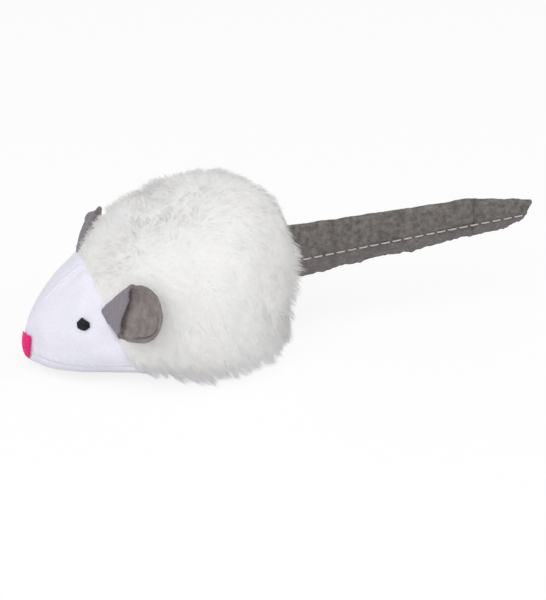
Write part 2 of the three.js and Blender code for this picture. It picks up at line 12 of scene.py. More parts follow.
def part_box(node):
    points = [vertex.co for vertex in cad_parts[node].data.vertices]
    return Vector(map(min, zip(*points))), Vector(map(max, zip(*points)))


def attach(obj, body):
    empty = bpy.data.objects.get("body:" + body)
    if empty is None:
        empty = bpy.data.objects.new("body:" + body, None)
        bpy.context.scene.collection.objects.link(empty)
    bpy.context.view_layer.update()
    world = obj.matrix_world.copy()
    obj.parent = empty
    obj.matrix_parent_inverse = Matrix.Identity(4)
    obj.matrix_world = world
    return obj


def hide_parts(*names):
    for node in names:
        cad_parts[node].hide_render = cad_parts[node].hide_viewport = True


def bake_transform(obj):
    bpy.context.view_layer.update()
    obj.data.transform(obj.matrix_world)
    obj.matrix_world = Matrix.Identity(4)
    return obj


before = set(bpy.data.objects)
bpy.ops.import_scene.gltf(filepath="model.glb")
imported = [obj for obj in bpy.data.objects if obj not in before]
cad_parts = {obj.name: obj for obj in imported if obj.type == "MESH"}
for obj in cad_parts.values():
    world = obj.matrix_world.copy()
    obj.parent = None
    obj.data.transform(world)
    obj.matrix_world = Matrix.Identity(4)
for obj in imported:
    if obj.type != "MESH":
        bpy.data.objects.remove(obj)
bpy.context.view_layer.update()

bl_info = {
    "name": "Catnip mouse",
    "version": (1, 0, 0),
    "blender": (4, 5, 0),
    "location": "3D View > Sidebar > Catnip mouse",
    "description": "Builds the cloth, fur, stitches and stage of a stuffed catnip mouse",
    "category": "Object",
}

MM = 0.001
SHARP_ANGLE = math.radians(70)
WAVE_COUNT = 14
WAVE_SPREAD_SHARES = (0.7, 1.4)
WAVE_CREST = 1.2
TUBE_SIDE = (0.31, 0.17, 0.93)  # a way that no thread's path follows
SEARCH_STEPS = 40  # rounds in which a place on the form is closed in on

# The stuffed form
BODY_LENGTH = 65.0
BODY_WIDTH = 53.6
BODY_HEIGHT = 42.6
NOSE_X = -32.5
RUMP_X = NOSE_X + BODY_LENGTH
FLAT_DEPTH = 0.5
LEAST_SIZE = 0.3
HALF_WIDTH_SHARES = [0.115, 0.175, 0.345, 0.515, 0.635, 0.81, 0.94, 1, 0.88, 0.66, 0.4, 0.14, 0.07]
TOP_SHARES = [0.21, 0.3, 0.395, 0.5, 0.63, 0.81, 0.88, 0.97, 1, 0.94, 0.82, 0.66, 0.5]
BASE_SHARES = [0.08, 0.065, 0.04, 0.02, 0, 0, 0, 0, 0, 0, 0.05, 0.22, 0.3]
WIDEST_SHARE = 0.42
UPPER_POWERS = [2.2, 2.5, 2.8, 3, 3.2, 3, 2.7, 2.4, 2.1, 2, 2, 2.1, 2.2]
LOWER_POWERS = [3, 2.7, 2.4, 2.2, 2, 2.2, 2.5, 2.8, 3.1, 3.3, 3.3, 3.3, 3.3]

# Seams
NECK_SETBACK = 14.2
NECK_X = NOSE_X + NECK_SETBACK
NECK_LEAN = math.radians(20)
CHIN_SEAM_HEIGHT = 5.2
RUMP_OVERLAP = 0.9  # the underside laps this far up behind the pile at the rump
SEAM_GAP = 0.01
VELBOA_THICKNESS = 1.2
BACKING_DEPTH = 0.3  # the dense foot of the pile lies this far below the mean fur surface
BACKING_THICKNESS = 1.8

# Density of the grids, as counts of rows and columns
STATIONS = 360
GIRTH_STEPS = 500
HEAD_GRID = (120, 120)
FOOT_GRID = (170, 150)
FUR_GRID = (150, 120)
UNDERSIDE_STATIONS = 300
UNDERSIDE_GRID = (160, 100)
UNDERSIDE_END_ROWS = 5
UNDERSIDE_END_SHARE = 0.2

# Relief of the cloth

# Waves have a height, a width of their hills and a seed. Rolls and seams have a height or a depth and
# a width. A fade runs from its first distance to its second.
HEAD_SWELL = (0.18, 7, 3)
HEAD_DENTS = (0.05, 2.5, 4)
HEAD_FADE = (0, 4)
RIDGE_ROLL = (0.45, 0.9)
RIDGE_ROLL_INSET = 0.5
RIDGE_SEAM = (0.5, 0.3)
RIDGE_FADE = (15, 7)
RIDGE_LEAST_SHARE = 0.12
CHIN_SEAM = (0.45, 0.4)
CHIN_SEAM_FADE = (3.5, 7.5)
CHIN_PULL_SHARE = 0.3
CHIN_PULL_PITCH = 1.4
CHIN_PUCKERS = (0.12, 0.8)
CHIN_PUCKER_INSET = 1.2
CHIN_PUCKER_PITCH = 1.1
NECK_SEAM = (0.9, 0.6)
FOOT_NECK_SEAM = (0.5, 1.2)
NECK_SEAM_FADE = (0, 2.5)
NECK_SEAM_LEAST_SHARE = 0.25
NECK_GATHERS = (0.14, 3)
NECK_GATHER_WIDTH = 2.4
NECK_GATHER_SHARES = (0.2, 1, 1)
EYE_DIMPLE = (0.4, 2.0)
UNDERSIDE_SWELL = (0.12, 6, 8)
UNDERSIDE_SEAM = (0.4, 0.4)
UNDERSIDE_FADE = (1, 5)
RUMP_OVERLAP_FADE = (16, 24)
FOOT_CLUMPS = (0.16, 4.5, 11)
FOOT_TUFTS = (0.06, 1.3, 12)
LOW_RUMP_DEPTH = 1.3
LOW_RUMP_FADE = (20, 28)
LOW_RUMP_TOP_FADE = (19, 13)
LOW_RUMP_FLOOR_FADE = (1, 4)

# Pile

# Real fibres are too fine and too many to make one by one, so each strand stands for several.
COMB_WAY = (0.45, 0.0, -1.0)
COMB_SWIRL_SHARE = 0.35
COMB_SWIRL_WIDTH = 11
COMB_SWIRL_SEEDS = (21, 22, 23)
RUMP_SWEEP_SHARE = 0.9
RUMP_SWEEP_FADE = (22, 30)
RUMP_SWEEP_HEIGHT_FADE = (12, 18)
RIDGE_LEAN = (0.9, 5, 24)
RIDGE_LEAN_WIDTH = 5
TAIL_SWEEP = (1.2, 8)
FLOOR_SPREAD_SHARE = 0.8
FLOOR_SPREAD_FADE = (9, 0)
FLOOR_RUMP_SHARE = 1.3
FLOOR_RUMP_FADE = (20, 26)
FLOOR_DENSITY_SHARE = 1.6
FLOOR_DENSITY_FADE = (11, 5)
STRAND_STEPS = np.array([0.0, 0.4, 0.75, 1.0])
STAND_SHARE = 0.5
FLYAWAY_SHARE = 0.1
FLYAWAY_STAND = 2.4
STAND_WAVE_SHARE = 0.8
STAND_WAVE_WIDTH = 2.5
COWLICK = (26.0, 1.8, 38.0)  # a tuft that sticks out of the rump
COWLICK_STAND_WIDTH = 4
ROOT_COMB_SHARE = 0.6
ROOT_JITTER_SHARE = 0.15
TIP_STAND_SHARE = 0.35
TIP_JITTER_SHARE = 0.22
LENGTH_FADE = (22, 6)
LENGTH_SHARES = (0.8, 0.6)  # high on the back, and what is added low on the flanks
LENGTH_WAVES = (0.15, 5, 31)
LENGTH_SPREAD_SHARES = (0.75, 1.15)
TAIL_LENGTHENING = (0.35, 8)
COWLICK_LENGTHENING = (0.7, 3)
NECK_LENGTH_SHARES = (0.4, 0.2)
NECK_LENGTH_REACH = 5
NECK_LENGTH_LOW_REACH = 8
LOW_FLANK_FADE = (20, 8)
TUFTS = ((100, 0.25, 0), (30, 0.15, 0.35), (7, 0.4, 0))  # strands in each, its pull, more pull when low
GATHER_POWER = 1.3
TAIL_BARE_HALF_WIDTH = 1.5
TAIL_BARE_START = 29
TAIL_BARE_MIDDLE = 22
TAIL_BARE_HALF_HEIGHT = 7
STREAK_SHARES = (1.5, 1.5, 0.35)  # the streaks in the pile run down the flanks
STREAK_WIDTH = 1.3
STREAK_LEAN_SHARES = (0.08, 0.3)
# Painted shade on the strands, partly random tone: darker in streaks, at random and most of all low on the
# flanks
SHADE_SHARES = (0.35, 0.45, 0.3)  # what every strand has, what a streak adds, and what chance adds
SHADE_DEPTH_SHARES = (0.2, 0.8)
STRAND_TAPER_SHARE = 0.75
STRAND_TAPER_POWER = 1.5
STRAND_ROUND_SHARE = 0.28  # the strands are lit mostly as the surface that they make up together
STRAND_FLOOR = 0.1
PILE_MOTTLE = 9
# Painted shade: the pile is painted a darker, colder white near the floor
PILE_FLOOR_SHADE_HEIGHT = 8  # below this height the pile turns a colder white
EAR_CLEARANCE = 0.5
EAR_CLEAR_START = -1
EAR_CLEAR_END = 18
EAR_CLEAR_HALF_WIDTH = 9.5

# Embroidery
EYE_SETBACK = 11.0
EYE_HEIGHT = 16.8
EYE_RADIUS = 1.5
EYE_BULGE = 0.9
EYE_THREAD_RADIUS = 0.2
NOSE_LOW = 3.3
NOSE_HIGH = 8.9
NOSE_WIDTH = 8.4
NOSE_ROLL = math.radians(18)
NOSE_BULGE = 0.5
NOSE_HEART = (-29.5, 0, 6)  # the nose's stitches are lifted away from this point
NOSE_THREAD_RADIUS = 0.2
NOSE_THREAD_PITCH = 0.3
NOSE_THREAD_TURNS = 14
NOSE_THREAD_LIFT = 0.42
NOSE_THREAD_STAGGER = 0.06  # every second stitch lies this much higher
NOSE_UNEVENNESS = 0.05
NOSE_SWAY = 0.04
NOSE_START_SHARE = 0.12
NOSE_NARROWING_SHARE = 0.15
NOSE_STATIONS = 60
NOSE_FRONT_STEPS = 12
NOSE_PATH_STEPS = 46
SNOUT_KEPT_SHARE = 0.7
SNOUT_NEW_SHARE = 0.3
EYE_THREADS = 11
EYE_THREAD_STEPS = 14
EYE_THREAD_TURNS = 3
EYE_RISE_SHARES = (1.12, 0.75, 0.15)  # at the middle, what the sides lose, and where the middle is
EYE_FALL_SHARES = (0.95, 0.55, 0.35)
EYE_SPREAD_SHARES = (0.97, 1.03)
EYE_WIDTH_SHARE = 0.92
EYE_CROWN_SHARES = (0.75, 0.45)  # along the stitches and across them
EYE_SINK = 0.25
THREAD_END_SHARE = 0.12
PLY_DEPTH_SHARE = 0.14

# Ears
EAR_BASE_LOW = 14.0
EAR_BASE_HIGH = 21.5
EAR_RADIUS = 6.75
EAR_CENTRE_REACH = 10.5
EAR_DROP = 0.2
EAR_STAND_OFF = 1.4
EAR_CUP_DEPTH = 0.8
EAR_FOLD_RADIUS = 0.45
EAR_FLAP_LENGTH = 6.6
EAR_SPLAY = math.radians(49)
EAR_RISE = math.radians(29)
EAR_TWIST = math.radians(15)
EAR_HALF_THICKNESS = 0.5
EAR_RIM_ROUND = 0.7
EAR_SEAM_INSET = 1.0
EAR_SHIFT = 0.2
EAR_FOLD_INSET = 0.6
EAR_LEAST_FLAP = 0.5
EAR_POCKET = 0.9
FAR_EAR_TILT = math.radians(10)
FAR_EAR_DROOP = math.radians(13)
FOLD_ANGLE = math.radians(178)
LEAST_BEND = math.radians(1.2)
FOLD_END_ANGLE = math.radians(2)
RIM_END_ANGLE = math.radians(86)
LOWER_RIM_ANGLE = math.radians(10)
EAR_FOLD_END = EAR_CENTRE_REACH + EAR_RADIUS * math.sin(FOLD_END_ANGLE)
EAR_RIM_START = EAR_CENTRE_REACH - EAR_RADIUS * math.sin(LOWER_RIM_ANGLE)
FLAP_SHARES = [0.42, 1, 0.74, 0.43, 0.12]
SETTLE_SHARES = (0, 0.6)
FOLD_FADE_SHARES = (0.8, 1.15)
FOLD_INSET_SHARES = (1.6, 0.9, 0.4)
EAR_START = -0.3
EAR_COLUMNS = 110
EAR_ROWS_TO_FOLD_END = 80
EAR_ROWS_TO_RIM = 40
CUP_STEPS = 40
FOLD_STEPS = 16
EAR_EASE = 0.5
EAR_POCKET_REACH = 3.2
EAR_POCKET_LENGTH = 2.2
EAR_POCKET_WIDTH = 1.2
EAR_LEAST_ROUND = 0.0004
EAR_BASE_ROUND_SHARES = (0.25, 0.75)
EAR_BASE_FADE = (-0.3, 1.4)
FLAP_EDGE_FADE = (-1.4, -0.6)
LOW_RIM_FADE = (0, 4)
LOW_RIM_REACH_FADE = (5, 9)
EAR_SEAM_WIDTH = 0.25
EAR_SEAM_DRIFT = (0.25, 3, 63)
EAR_SEAM_DEPTH = 0.14
EAR_LOW_SEAM_DEPTH = 0.16
EAR_RIPPLE = (0.2, 3.2, 61)
EAR_RIPPLE_FADE = (0, 3)
EAR_CRINKLE = (0.06, 1.1, 62)
EAR_RIB_HEIGHT = 0.05
EAR_RIB_PITCH = 0.85
EAR_RIB_DRIFT = (1.5, 2.5, 64)
EAR_LAYER_GAP = 0.02
# Painted shade on the ears: the crease value paints the cup darker under the flap, along the low seam and
# towards the fold
CREASE_SHADE_WIDTH = 1.0
CREASE_SHADE_REACH_FADE = (-10, -4)
CREASE_SHADE_SHARES = (0.85, 0.5, 0.2)  # under the flap, on the low seam and towards the fold
CREASE_SHADE_HEIGHT_FADE = (0, 5)

# Tail
TAIL_CLOTH = 0.9
TAIL_SLIT = 0.4
TAIL_PINCH = 0.14  # the layers lie closer together than the slit in the solids
TAIL_HALF = TAIL_CLOTH + TAIL_SLIT / 2
TAIL_START = 22.6
TAIL_ROOT_MIDDLE = 22.5
TAIL_ROOT_HEIGHT = 13.3
TAIL_CREASE_REACH = 45.0
TAIL_CREASE_MIDDLE = 25.8
TAIL_SOFT_FOLD_REACH = 9.6
TAIL_CREASE_HEIGHT = 9.5
TAIL_REACH = 60.0
TAIL_TIP_MIDDLE = 26.2
TAIL_TIP_HEIGHT = 5.1
TAIL_TIP_SLANT = 2.4
TAIL_PIVOT_REACHES = {"front": 4.0, "rear": 24.0, "tip": 44.0}
TAIL_FRONT_END = 46.5
TAIL_REAR_END = 66.5
TAIL_BARE_ROOT = 2.1
TAIL_FIRST_STITCH = 1.8
TAIL_COLUMNS = 96
TAIL_ROW_PITCH = 0.3
TAIL_FACE_STEPS = 80
TAIL_ARC_STEPS = 17
TAIL_LEAST_GAP = 0.02
TAIL_FULLNESS = 0.25
TAIL_TIP_CLOSING = 5
TAIL_STITCH_PULL = (0.04, 0.8)
TAIL_EDGE_SHARES = (0.72, 0.28)  # depth where the frayed edge begins, and the depth that it has
TAIL_EDGE_FRAY = (0.16, 0.9, 72)
TAIL_EDGE_DIPS = (0.28, 3.0, 73)
TAIL_EDGE_CURL = (0.35, 4, 71)
TAIL_RISE_AND_FALL = (0.12, 2.4, 74)
TAIL_SWAY = (0.3, 9, 78)
TAIL_SWAY_FADE = (38, 50)
TAIL_CREASE = (0.3, 0.5)
TAIL_CREASE_FADE = (0, 0.15)
TAIL_SIDE_SHIFT = 9
TAIL_TIP_FRAY = (0.12, 0.9, 75)
TAIL_TIP_CUT_LENGTH = 8
STITCH_ROW_SINK_SHARE = 0.3
STITCH_ROW_WIDTH = 0.9
TAIL_NAP = (0.05, 0.9, 76)
TAIL_SWELL = (0.06, 2.5, 77)
STRIP_FADE = 1.5
STRIP_TINT_SHARE = 0.5
# Painted shade on the tail: darker in its crease, its soft fold and along its stitch row
TAIL_CREASE_SHADE = (0.45, 0.6)
TAIL_CREASE_SHADE_DRIFT = (0.3, 2, 79)
SOFT_FOLD_SHADE = (0.3, 0.9)
SOFT_FOLD_SHADE_DRIFT = (0.5, 3, 80)
STITCH_ROW_SHADE = (0.3, 0.45)
STITCH_STEPS = 13
STITCH_TURNS = 2.5
STITCH_RISE = 0.42
STITCH_SINK = 0.25
STITCH_FOOT_SHARE = 0.72
STITCH_ROW_SHARE = 0.31
STITCH_LENGTH = 2.0
STITCH_SPACING = 0.8
STITCH_OVERLAP = 0.1
STITCH_RADIUS = 0.2

# Colours of the cloth, as ranges that noise or a strand's own value is spread over
PATCH_RANGE = (0.3, 0.7)
SPECK_RANGE = (0.35, 0.7)
PILE_PATCH_RANGE = (0.35, 0.65)
# Painted shade: the pile's roots are a little darker than its tips
PILE_ROOT_SHADE_TO_TIP = (0.98, 1.0)
# The strand's tone range holds painted shade as well as random tone
PILE_TONE_AND_SHADE_RANGE = (0.84, 1.0)
PILE_FLOOR_SHADE_SHARES = (0.5, 0.0)

# Inside
WAD_CELL = 1.0
WAD_LUMP = 7.0
WAD_LUMP_DEPTH = 0.8
POUCH_CELL = 0.3
POUCH_CRUMPLE = 2.2
POUCH_CRUMPLE_DEPTH = 0.2
CRUMBS = 900
CRUMB_SIZE = 0.9
CRUMB_SPREAD_SHARES = (0.3, 1)
CRUMB_SIDE_SHARES = (1, 0.7, 0.3)


def linear(code):
    """An sRGB hex colour as linear red, green and blue."""
    parts = [int(code[i:i + 2], 16) / 255 for i in (1, 3, 5)]
    return tuple(p / 12.92 if p <= 0.04045 else ((p + 0.055) / 1.055) ** 2.4 for p in parts)


# Shapes of the stuffed form

def value_at(table, t):
    """Value of a table at t from 0 to 1, on a smooth curve through its evenly spaced points."""
    table = np.asarray(table, float)
    last = len(table) - 1
    place = np.clip(t, 0, 1) * last
    i = np.minimum(np.floor(place).astype(int), last - 1)
    f = place - i
    b, c = table[i], table[i + 1]
    a = np.where(i > 0, table[np.maximum(i - 1, 0)], 2 * b - c)
    d = np.where(i + 2 <= last, table[np.minimum(i + 2, last)], 2 * c - b)
    return b + 0.5 * f * (c - a + f * (2 * a - 5 * b + 4 * c - d + f * (3 * (b - c) + d - a)))


def form_section(t):
    """Distance along X, half width, lowest, widest and highest line of the form at t."""
    half = np.maximum(BODY_WIDTH / 2 * value_at(HALF_WIDTH_SHARES, t), LEAST_SIZE)
    base = BODY_HEIGHT * value_at(BASE_SHARES, t) - FLAT_DEPTH
    top = np.maximum(BODY_HEIGHT * value_at(TOP_SHARES, t), base + LEAST_SIZE)
    x = NOSE_X + BODY_LENGTH * (1 - np.cos(np.pi * np.asarray(t, float))) / 2
    return x, half, base, base + (top - base) * WIDEST_SHARE, top


def form_point(t, angle):
    """Points of the form at t and at angles round it, from its left over its top."""
    x, half, base, middle, top = form_section(t)
    c, s = np.cos(angle), np.sin(angle)
    power = 2 / np.where(s > 0, value_at(UPPER_POWERS, t), value_at(LOWER_POWERS, t))
    y = -half * np.sign(c) * np.abs(c) ** power
    z = middle + np.where(s > 0, top - middle, middle - base) * np.sign(s) * np.abs(s) ** power
    return np.stack(np.broadcast_arrays(x, y, z), -1)


def angle_at_height(t, height):
    """Angle round the left of the form where its section passes a height."""
    _, _, base, middle, top = form_section(t)
    share = np.where(height > middle, (height - middle) / (top - middle), (middle - height) / (middle - base))
    power = np.where(height > middle, value_at(UPPER_POWERS, t), value_at(LOWER_POWERS, t))
    return np.where(height > middle, 1, -1) * np.arcsin(np.clip(share, 0, 1) ** (power / 2))


def station_at(x):
    """t of the form at a distance along X."""
    return math.acos(1 - 2 * min(max((x - NOSE_X) / BODY_LENGTH, 0), 1)) / math.pi


NECK_TOP = float(form_section(station_at(NECK_X))[4])


def behind_neck(points):
    """How far points lie behind the plane of the neck seam."""
    return points[..., 0] - NECK_X - (NECK_TOP - points[..., 2]) * math.tan(NECK_LEAN)


def resampled(line, shares):
    """Points on a line at shares of its length."""
    steps = np.linalg.norm(np.diff(line, axis=0), axis=1)
    along = np.concatenate([[0], np.cumsum(steps)])
    along /= max(along[-1], 1e-9)
    return np.stack([np.interp(shares, along, line[:, k]) for k in range(3)], -1)


def eased(count, ease=0.6):
    """Shares from 0 to 1 that lie closer together at both ends."""
    even = np.linspace(0, 1, count)
    return (1 - ease) * even + ease * (1 - np.cos(np.pi * even)) / 2


def form_columns(low, high, shares, stations=STATIONS):
    """Points of the form by station and by shares of the girth between two angles at each station."""
    t = np.linspace(0, 1, stations)
    low, high = np.broadcast_to(low, t.shape), np.broadcast_to(high, t.shape)
    fine = np.linspace(0, 1, GIRTH_STEPS)
    dense = form_point(t[:, None], low[:, None] + (high - low)[:, None] * fine)
    return t, np.array([resampled(line, shares) for line in dense])


def column_between(t, columns, starts, ends, shares):
    """Grid whose rows run from a start to an end station of every column."""
    grid = np.empty((len(shares), columns.shape[1], 3))
    for j in range(columns.shape[1]):
        wanted = starts[j] + (ends[j] - starts[j]) * shares
        for k in range(3):
            grid[:, j, k] = np.interp(wanted, t, columns[:, j, k])
    return grid


def neck_stations(t, columns):
    """t at which every column crosses the neck seam."""
    behind = behind_neck(columns)
    found = []
    for j in range(columns.shape[1]):
        i = int(np.argmax(behind[:, j] > 0))
        f = -behind[i - 1, j] / (behind[i, j] - behind[i - 1, j])
        found.append(t[i - 1] + f * (t[i] - t[i - 1]))
    return np.array(found)


def lengths_along(grid, axis):
    """Distance of a grid's points from its first row or column, along the grid."""
    steps = np.linalg.norm(np.diff(grid, axis=axis), axis=-1)
    first = np.zeros_like(np.take(steps, [0], axis=axis))
    return np.cumsum(np.concatenate([first, steps], axis=axis), axis=axis)


def normals_of(grid):
    """Unit normals of a grid of points, rows crossed with columns."""
    normal = np.cross(np.gradient(grid, axis=0), np.gradient(grid, axis=1))
    return normal / np.maximum(np.linalg.norm(normal, axis=-1, keepdims=True), 1e-9)


def waves(points, size, seed, count=WAVE_COUNT):
    """Smooth noise between about -1 and 1, with hills about as wide as size."""
    rng = np.random.default_rng(seed)
    found = np.zeros(points.shape[:-1])
    for _ in range(count):
        way = rng.normal(size=3)
        way *= rng.uniform(*WAVE_SPREAD_SHARES) * math.pi / size / np.linalg.norm(way)
        found += np.sin(points @ way + rng.uniform(0, 2 * math.pi))
    return found / math.sqrt(count) / WAVE_CREST


def bump(distance, width):
    """Height from 1 to 0 of a soft ridge at a distance from its line."""
    return np.exp(-(distance / width) ** 2)


def roll(distance, sizes):
    """Soft ridge at a distance from its line, with a height and a width."""
    height, width = sizes
    return height * bump(distance, width)


def relief(points, sizes):
    """Waves with a height, a width of their hills and a seed."""
    height, width, seed = sizes
    return height * waves(points, width, seed)


def ramp(values, start, end):
    """Share from 0 to 1 of the way that values have gone from a start to an end."""
    return np.clip((values - start) / (end - start), 0, 1)


# Meshes

def grid_quads(rows, columns, first=0, around=False):
    """Quads of a grid of points that are numbered row by row."""
    i = np.arange(rows - 1)[:, None]
    j = np.arange(columns if around else columns - 1)[None, :]
    k = (j + 1) % columns
    corners = [i * columns + j, i * columns + k, (i + 1) * columns + k, (i + 1) * columns + j]
    return first + np.stack(np.broadcast_arrays(*corners), -1).reshape(-1, 4)


def rim_loop(rows, columns):
    """Numbers of a grid's border points, in the order its quads pass them."""
    grid = np.arange(rows * columns).reshape(rows, columns)
    return np.concatenate([grid[0, :-1], grid[:-1, -1], grid[-1, :0:-1], grid[:0:-1, 0]])


def linked(name, data):
    """New object of some data, in the scene."""
    made = bpy.data.objects.new(name, data)
    bpy.context.scene.collection.objects.link(made)
    return made


def mesh_piece(name, points, quads, triangles=None, values=None, normals=None, sharp=False):
    """Smooth object of points in millimetres, with named values and normals kept at its points."""
    quads = np.asarray(quads, np.int32).reshape(-1, 4)
    triangles = np.asarray([] if triangles is None else triangles, np.int32).reshape(-1, 3)
    mesh = bpy.data.meshes.new(name)
    mesh.vertices.add(len(points))
    mesh.vertices.foreach_set("co", (np.asarray(points) * MM).astype(np.float32).ravel())
    mesh.loops.add(quads.size + triangles.size)
    mesh.loops.foreach_set("vertex_index", np.concatenate([quads.ravel(), triangles.ravel()]))
    mesh.polygons.add(len(quads) + len(triangles))
    starts = np.concatenate([np.arange(len(quads)) * 4, quads.size + np.arange(len(triangles)) * 3])
    mesh.polygons.foreach_set("loop_start", starts.astype(np.int32))
    mesh.update(calc_edges=True)
    mesh.validate()
    mesh.shade_smooth()
    if sharp:
        mesh.set_sharp_from_angle(angle=SHARP_ANGLE)
    for key, value in (values or {}).items():
        mesh.attributes.new(key, "FLOAT", "POINT").data.foreach_set("value", value.astype(np.float32).ravel())
    if normals is not None:
        mesh.normals_split_custom_set_from_vertices(normals.astype(np.float32))
    return linked(name, mesh)


def sheet_piece(name, outer, inner, values=None):
    """Closed sheet between two grids of points, whose outer one faces outwards."""
    rows, columns = outer.shape[:2]
    count = rows * columns
    quads = [grid_quads(rows, columns), grid_quads(rows, columns, count)[:, ::-1]]
    loop = rim_loop(rows, columns)
    after = np.roll(loop, -1)
    quads.append(np.stack([after, loop, loop + count, after + count], -1))
    points = np.concatenate([outer.reshape(-1, 3), inner.reshape(-1, 3)])
    return mesh_piece(name, points, np.concatenate(quads), values=values, sharp=True)


def tube_rings(path, radius, sides, plies=0, turns=0.0, ply_depth=0.0):
    """Rings of a tube round a path, with the lobes of a twisted thread if it has plies."""
    path = np.asarray(path, float)
    way = np.gradient(path, axis=0)
    way /= np.linalg.norm(way, axis=1, keepdims=True)
    aside = np.cross(way, TUBE_SIDE)
    aside /= np.linalg.norm(aside, axis=1, keepdims=True)
    other = np.cross(way, aside)
    angle = np.linspace(0, 2 * math.pi, sides, endpoint=False)
    along = np.linspace(0, 1, len(path))[:, None]
    width = np.broadcast_to(radius, len(path))[:, None]
    width = width * (1 + ply_depth * np.cos(plies * angle - 2 * math.pi * turns * along))
    ring = np.cos(angle)[:, None] * aside[:, None] + np.sin(angle)[:, None] * other[:, None]
    return path[:, None] + width[..., None] * ring


def tubes_piece(name, tubes):
    """One object of several closed tubes, each given by its rings."""
    points, quads, triangles = [], [], []
    first = 0
    for rings in tubes:
        count, sides = rings.shape[:2]
        ends = first + count * sides
        points += [rings.reshape(-1, 3), rings[0].mean(0)[None], rings[-1].mean(0)[None]]
        quads.append(grid_quads(count, sides, first, around=True))
        this = np.arange(sides)
        after = (this + 1) % sides
        last = ends - sides
        triangles.append(np.stack([first + this, first + after, np.full(sides, ends)], -1)[:, ::-1])
        triangles.append(np.stack([last + this, last + after, np.full(sides, ends + 1)], -1))
        first = ends + 2
    return mesh_piece(name, np.concatenate(points), np.concatenate(quads), np.concatenate(triangles))


def dressed(piece, material, nodes=()):
    """Gives a piece its material and lets it stand for CAD nodes, which it hides."""
    piece.data.materials.append(material)
    if nodes:
        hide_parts(*nodes)
    return piece


# Materials

def add(tree, kind, sockets=None, **properties):
    """Adds a node, sets its properties, and sets or links its sockets by name or number."""
    node = tree.nodes.new(kind)
    for name, value in properties.items():
        setattr(node, name, value)
    for key, value in (sockets or {}).items():
        if isinstance(value, bpy.types.NodeSocket):
            tree.links.new(value, node.inputs[key])
        else:
            node.inputs[key].default_value = value
    return node


def empty_tree(owner):
    """Node tree of a material or a world, without nodes."""
    owner.use_nodes = True
    owner.node_tree.nodes.clear()
    return owner.node_tree


def noise(tree, place, size, detail):
    """Noise from 0 to 1, with spots of a size in millimetres."""
    sockets = {"Vector": place, "Scale": 1 / (size * MM), "Detail": detail}
    return add(tree, "ShaderNodeTexNoise", sockets).outputs[0]


def ranged(tree, value, given=(0.0, 1.0), wanted=(0.0, 1.0)):
    """Value whose given range is stretched to the wanted one."""
    sockets = {0: value, 1: given[0], 2: given[1], 3: wanted[0], 4: wanted[1]}
    return add(tree, "ShaderNodeMapRange", sockets).outputs[0]


def mixed(tree, share, first, second, **properties):
    """Colour mixed from two by a share."""
    sockets = {0: share, 6: first, 7: second}
    return add(tree, "ShaderNodeMix", sockets, data_type="RGBA", **properties).outputs[2]


def opaque(code):
    """An sRGB hex colour as linear red, green, blue and an alpha of 1."""
    return (*linear(code), 1)


def cloth_shader(tree, sockets):
    """Matt shader with a soft sheen, as the material's output."""
    shared = {"Sheen Roughness": 0.4, "Specular IOR Level": 0.2}
    shader = add(tree, "ShaderNodeBsdfPrincipled", {**sockets, **shared})
    add(tree, "ShaderNodeOutputMaterial", {0: shader.outputs[0]})


def cloth_material(name, colours, mottle, grain, grain_depth, sheen=0.2, roughness=0.9,
                   specks=(0.86, 1.08), tints_and_shades=()):
    """A cloth whose two colours drift over patches of mottle mm, with a nap of grain mm and places tinted by
    named values, some of them painted shade.
    """
    # Single fibres are too fine to show, so the grain is as coarse as the locks that they lie in
    found = bpy.data.materials.get(name)
    if found:
        return found
    made = bpy.data.materials.new(name)
    tree = empty_tree(made)
    place = add(tree, "ShaderNodeTexCoord").outputs["Object"]
    patch = noise(tree, place, mottle, 3.0)
    fibre = noise(tree, place, grain, 2.0)
    low, high = [opaque(code) for code in colours]
    colour = mixed(tree, ranged(tree, patch, PATCH_RANGE), low, high)
    # Some of these tints are painted shade, such as the dark colour in creases
    for key, code in tints_and_shades:
        there = add(tree, "ShaderNodeAttribute", attribute_name=key).outputs["Fac"]
        colour = mixed(tree, there, colour, opaque(code))
    speck = ranged(tree, fibre, SPECK_RANGE, specks)
    colour = mixed(tree, 1.0, colour, speck, blend_type="MULTIPLY")
    sockets = {"Height": fibre, "Distance": grain_depth * MM, "Strength": 1.0}
    nap = add(tree, "ShaderNodeBump", sockets).outputs[0]
    cloth_shader(tree, {"Base Color": colour, "Roughness": roughness, "Normal": nap, "Sheen Weight": sheen})
    return made


def velboa():
    """Warp-knitted polyester with a pile under a millimetre long: nearly smooth, with a cold white."""
    return cloth_material("velboa_short_knitted_pile", ("#e9e9f5", "#f3f1fc"), mottle=9, grain=0.5,
                          grain_depth=0.02, specks=(0.96, 1.02))


def plush_backing():
    """The foot of the long pile, where the fibres stand so close that no backing shows."""
    return cloth_material("plush_pile_foot", ("#ececeb", "#efeeeb"), mottle=9, grain=0.7,
                          grain_depth=0.02, specks=(0.96, 1.02))


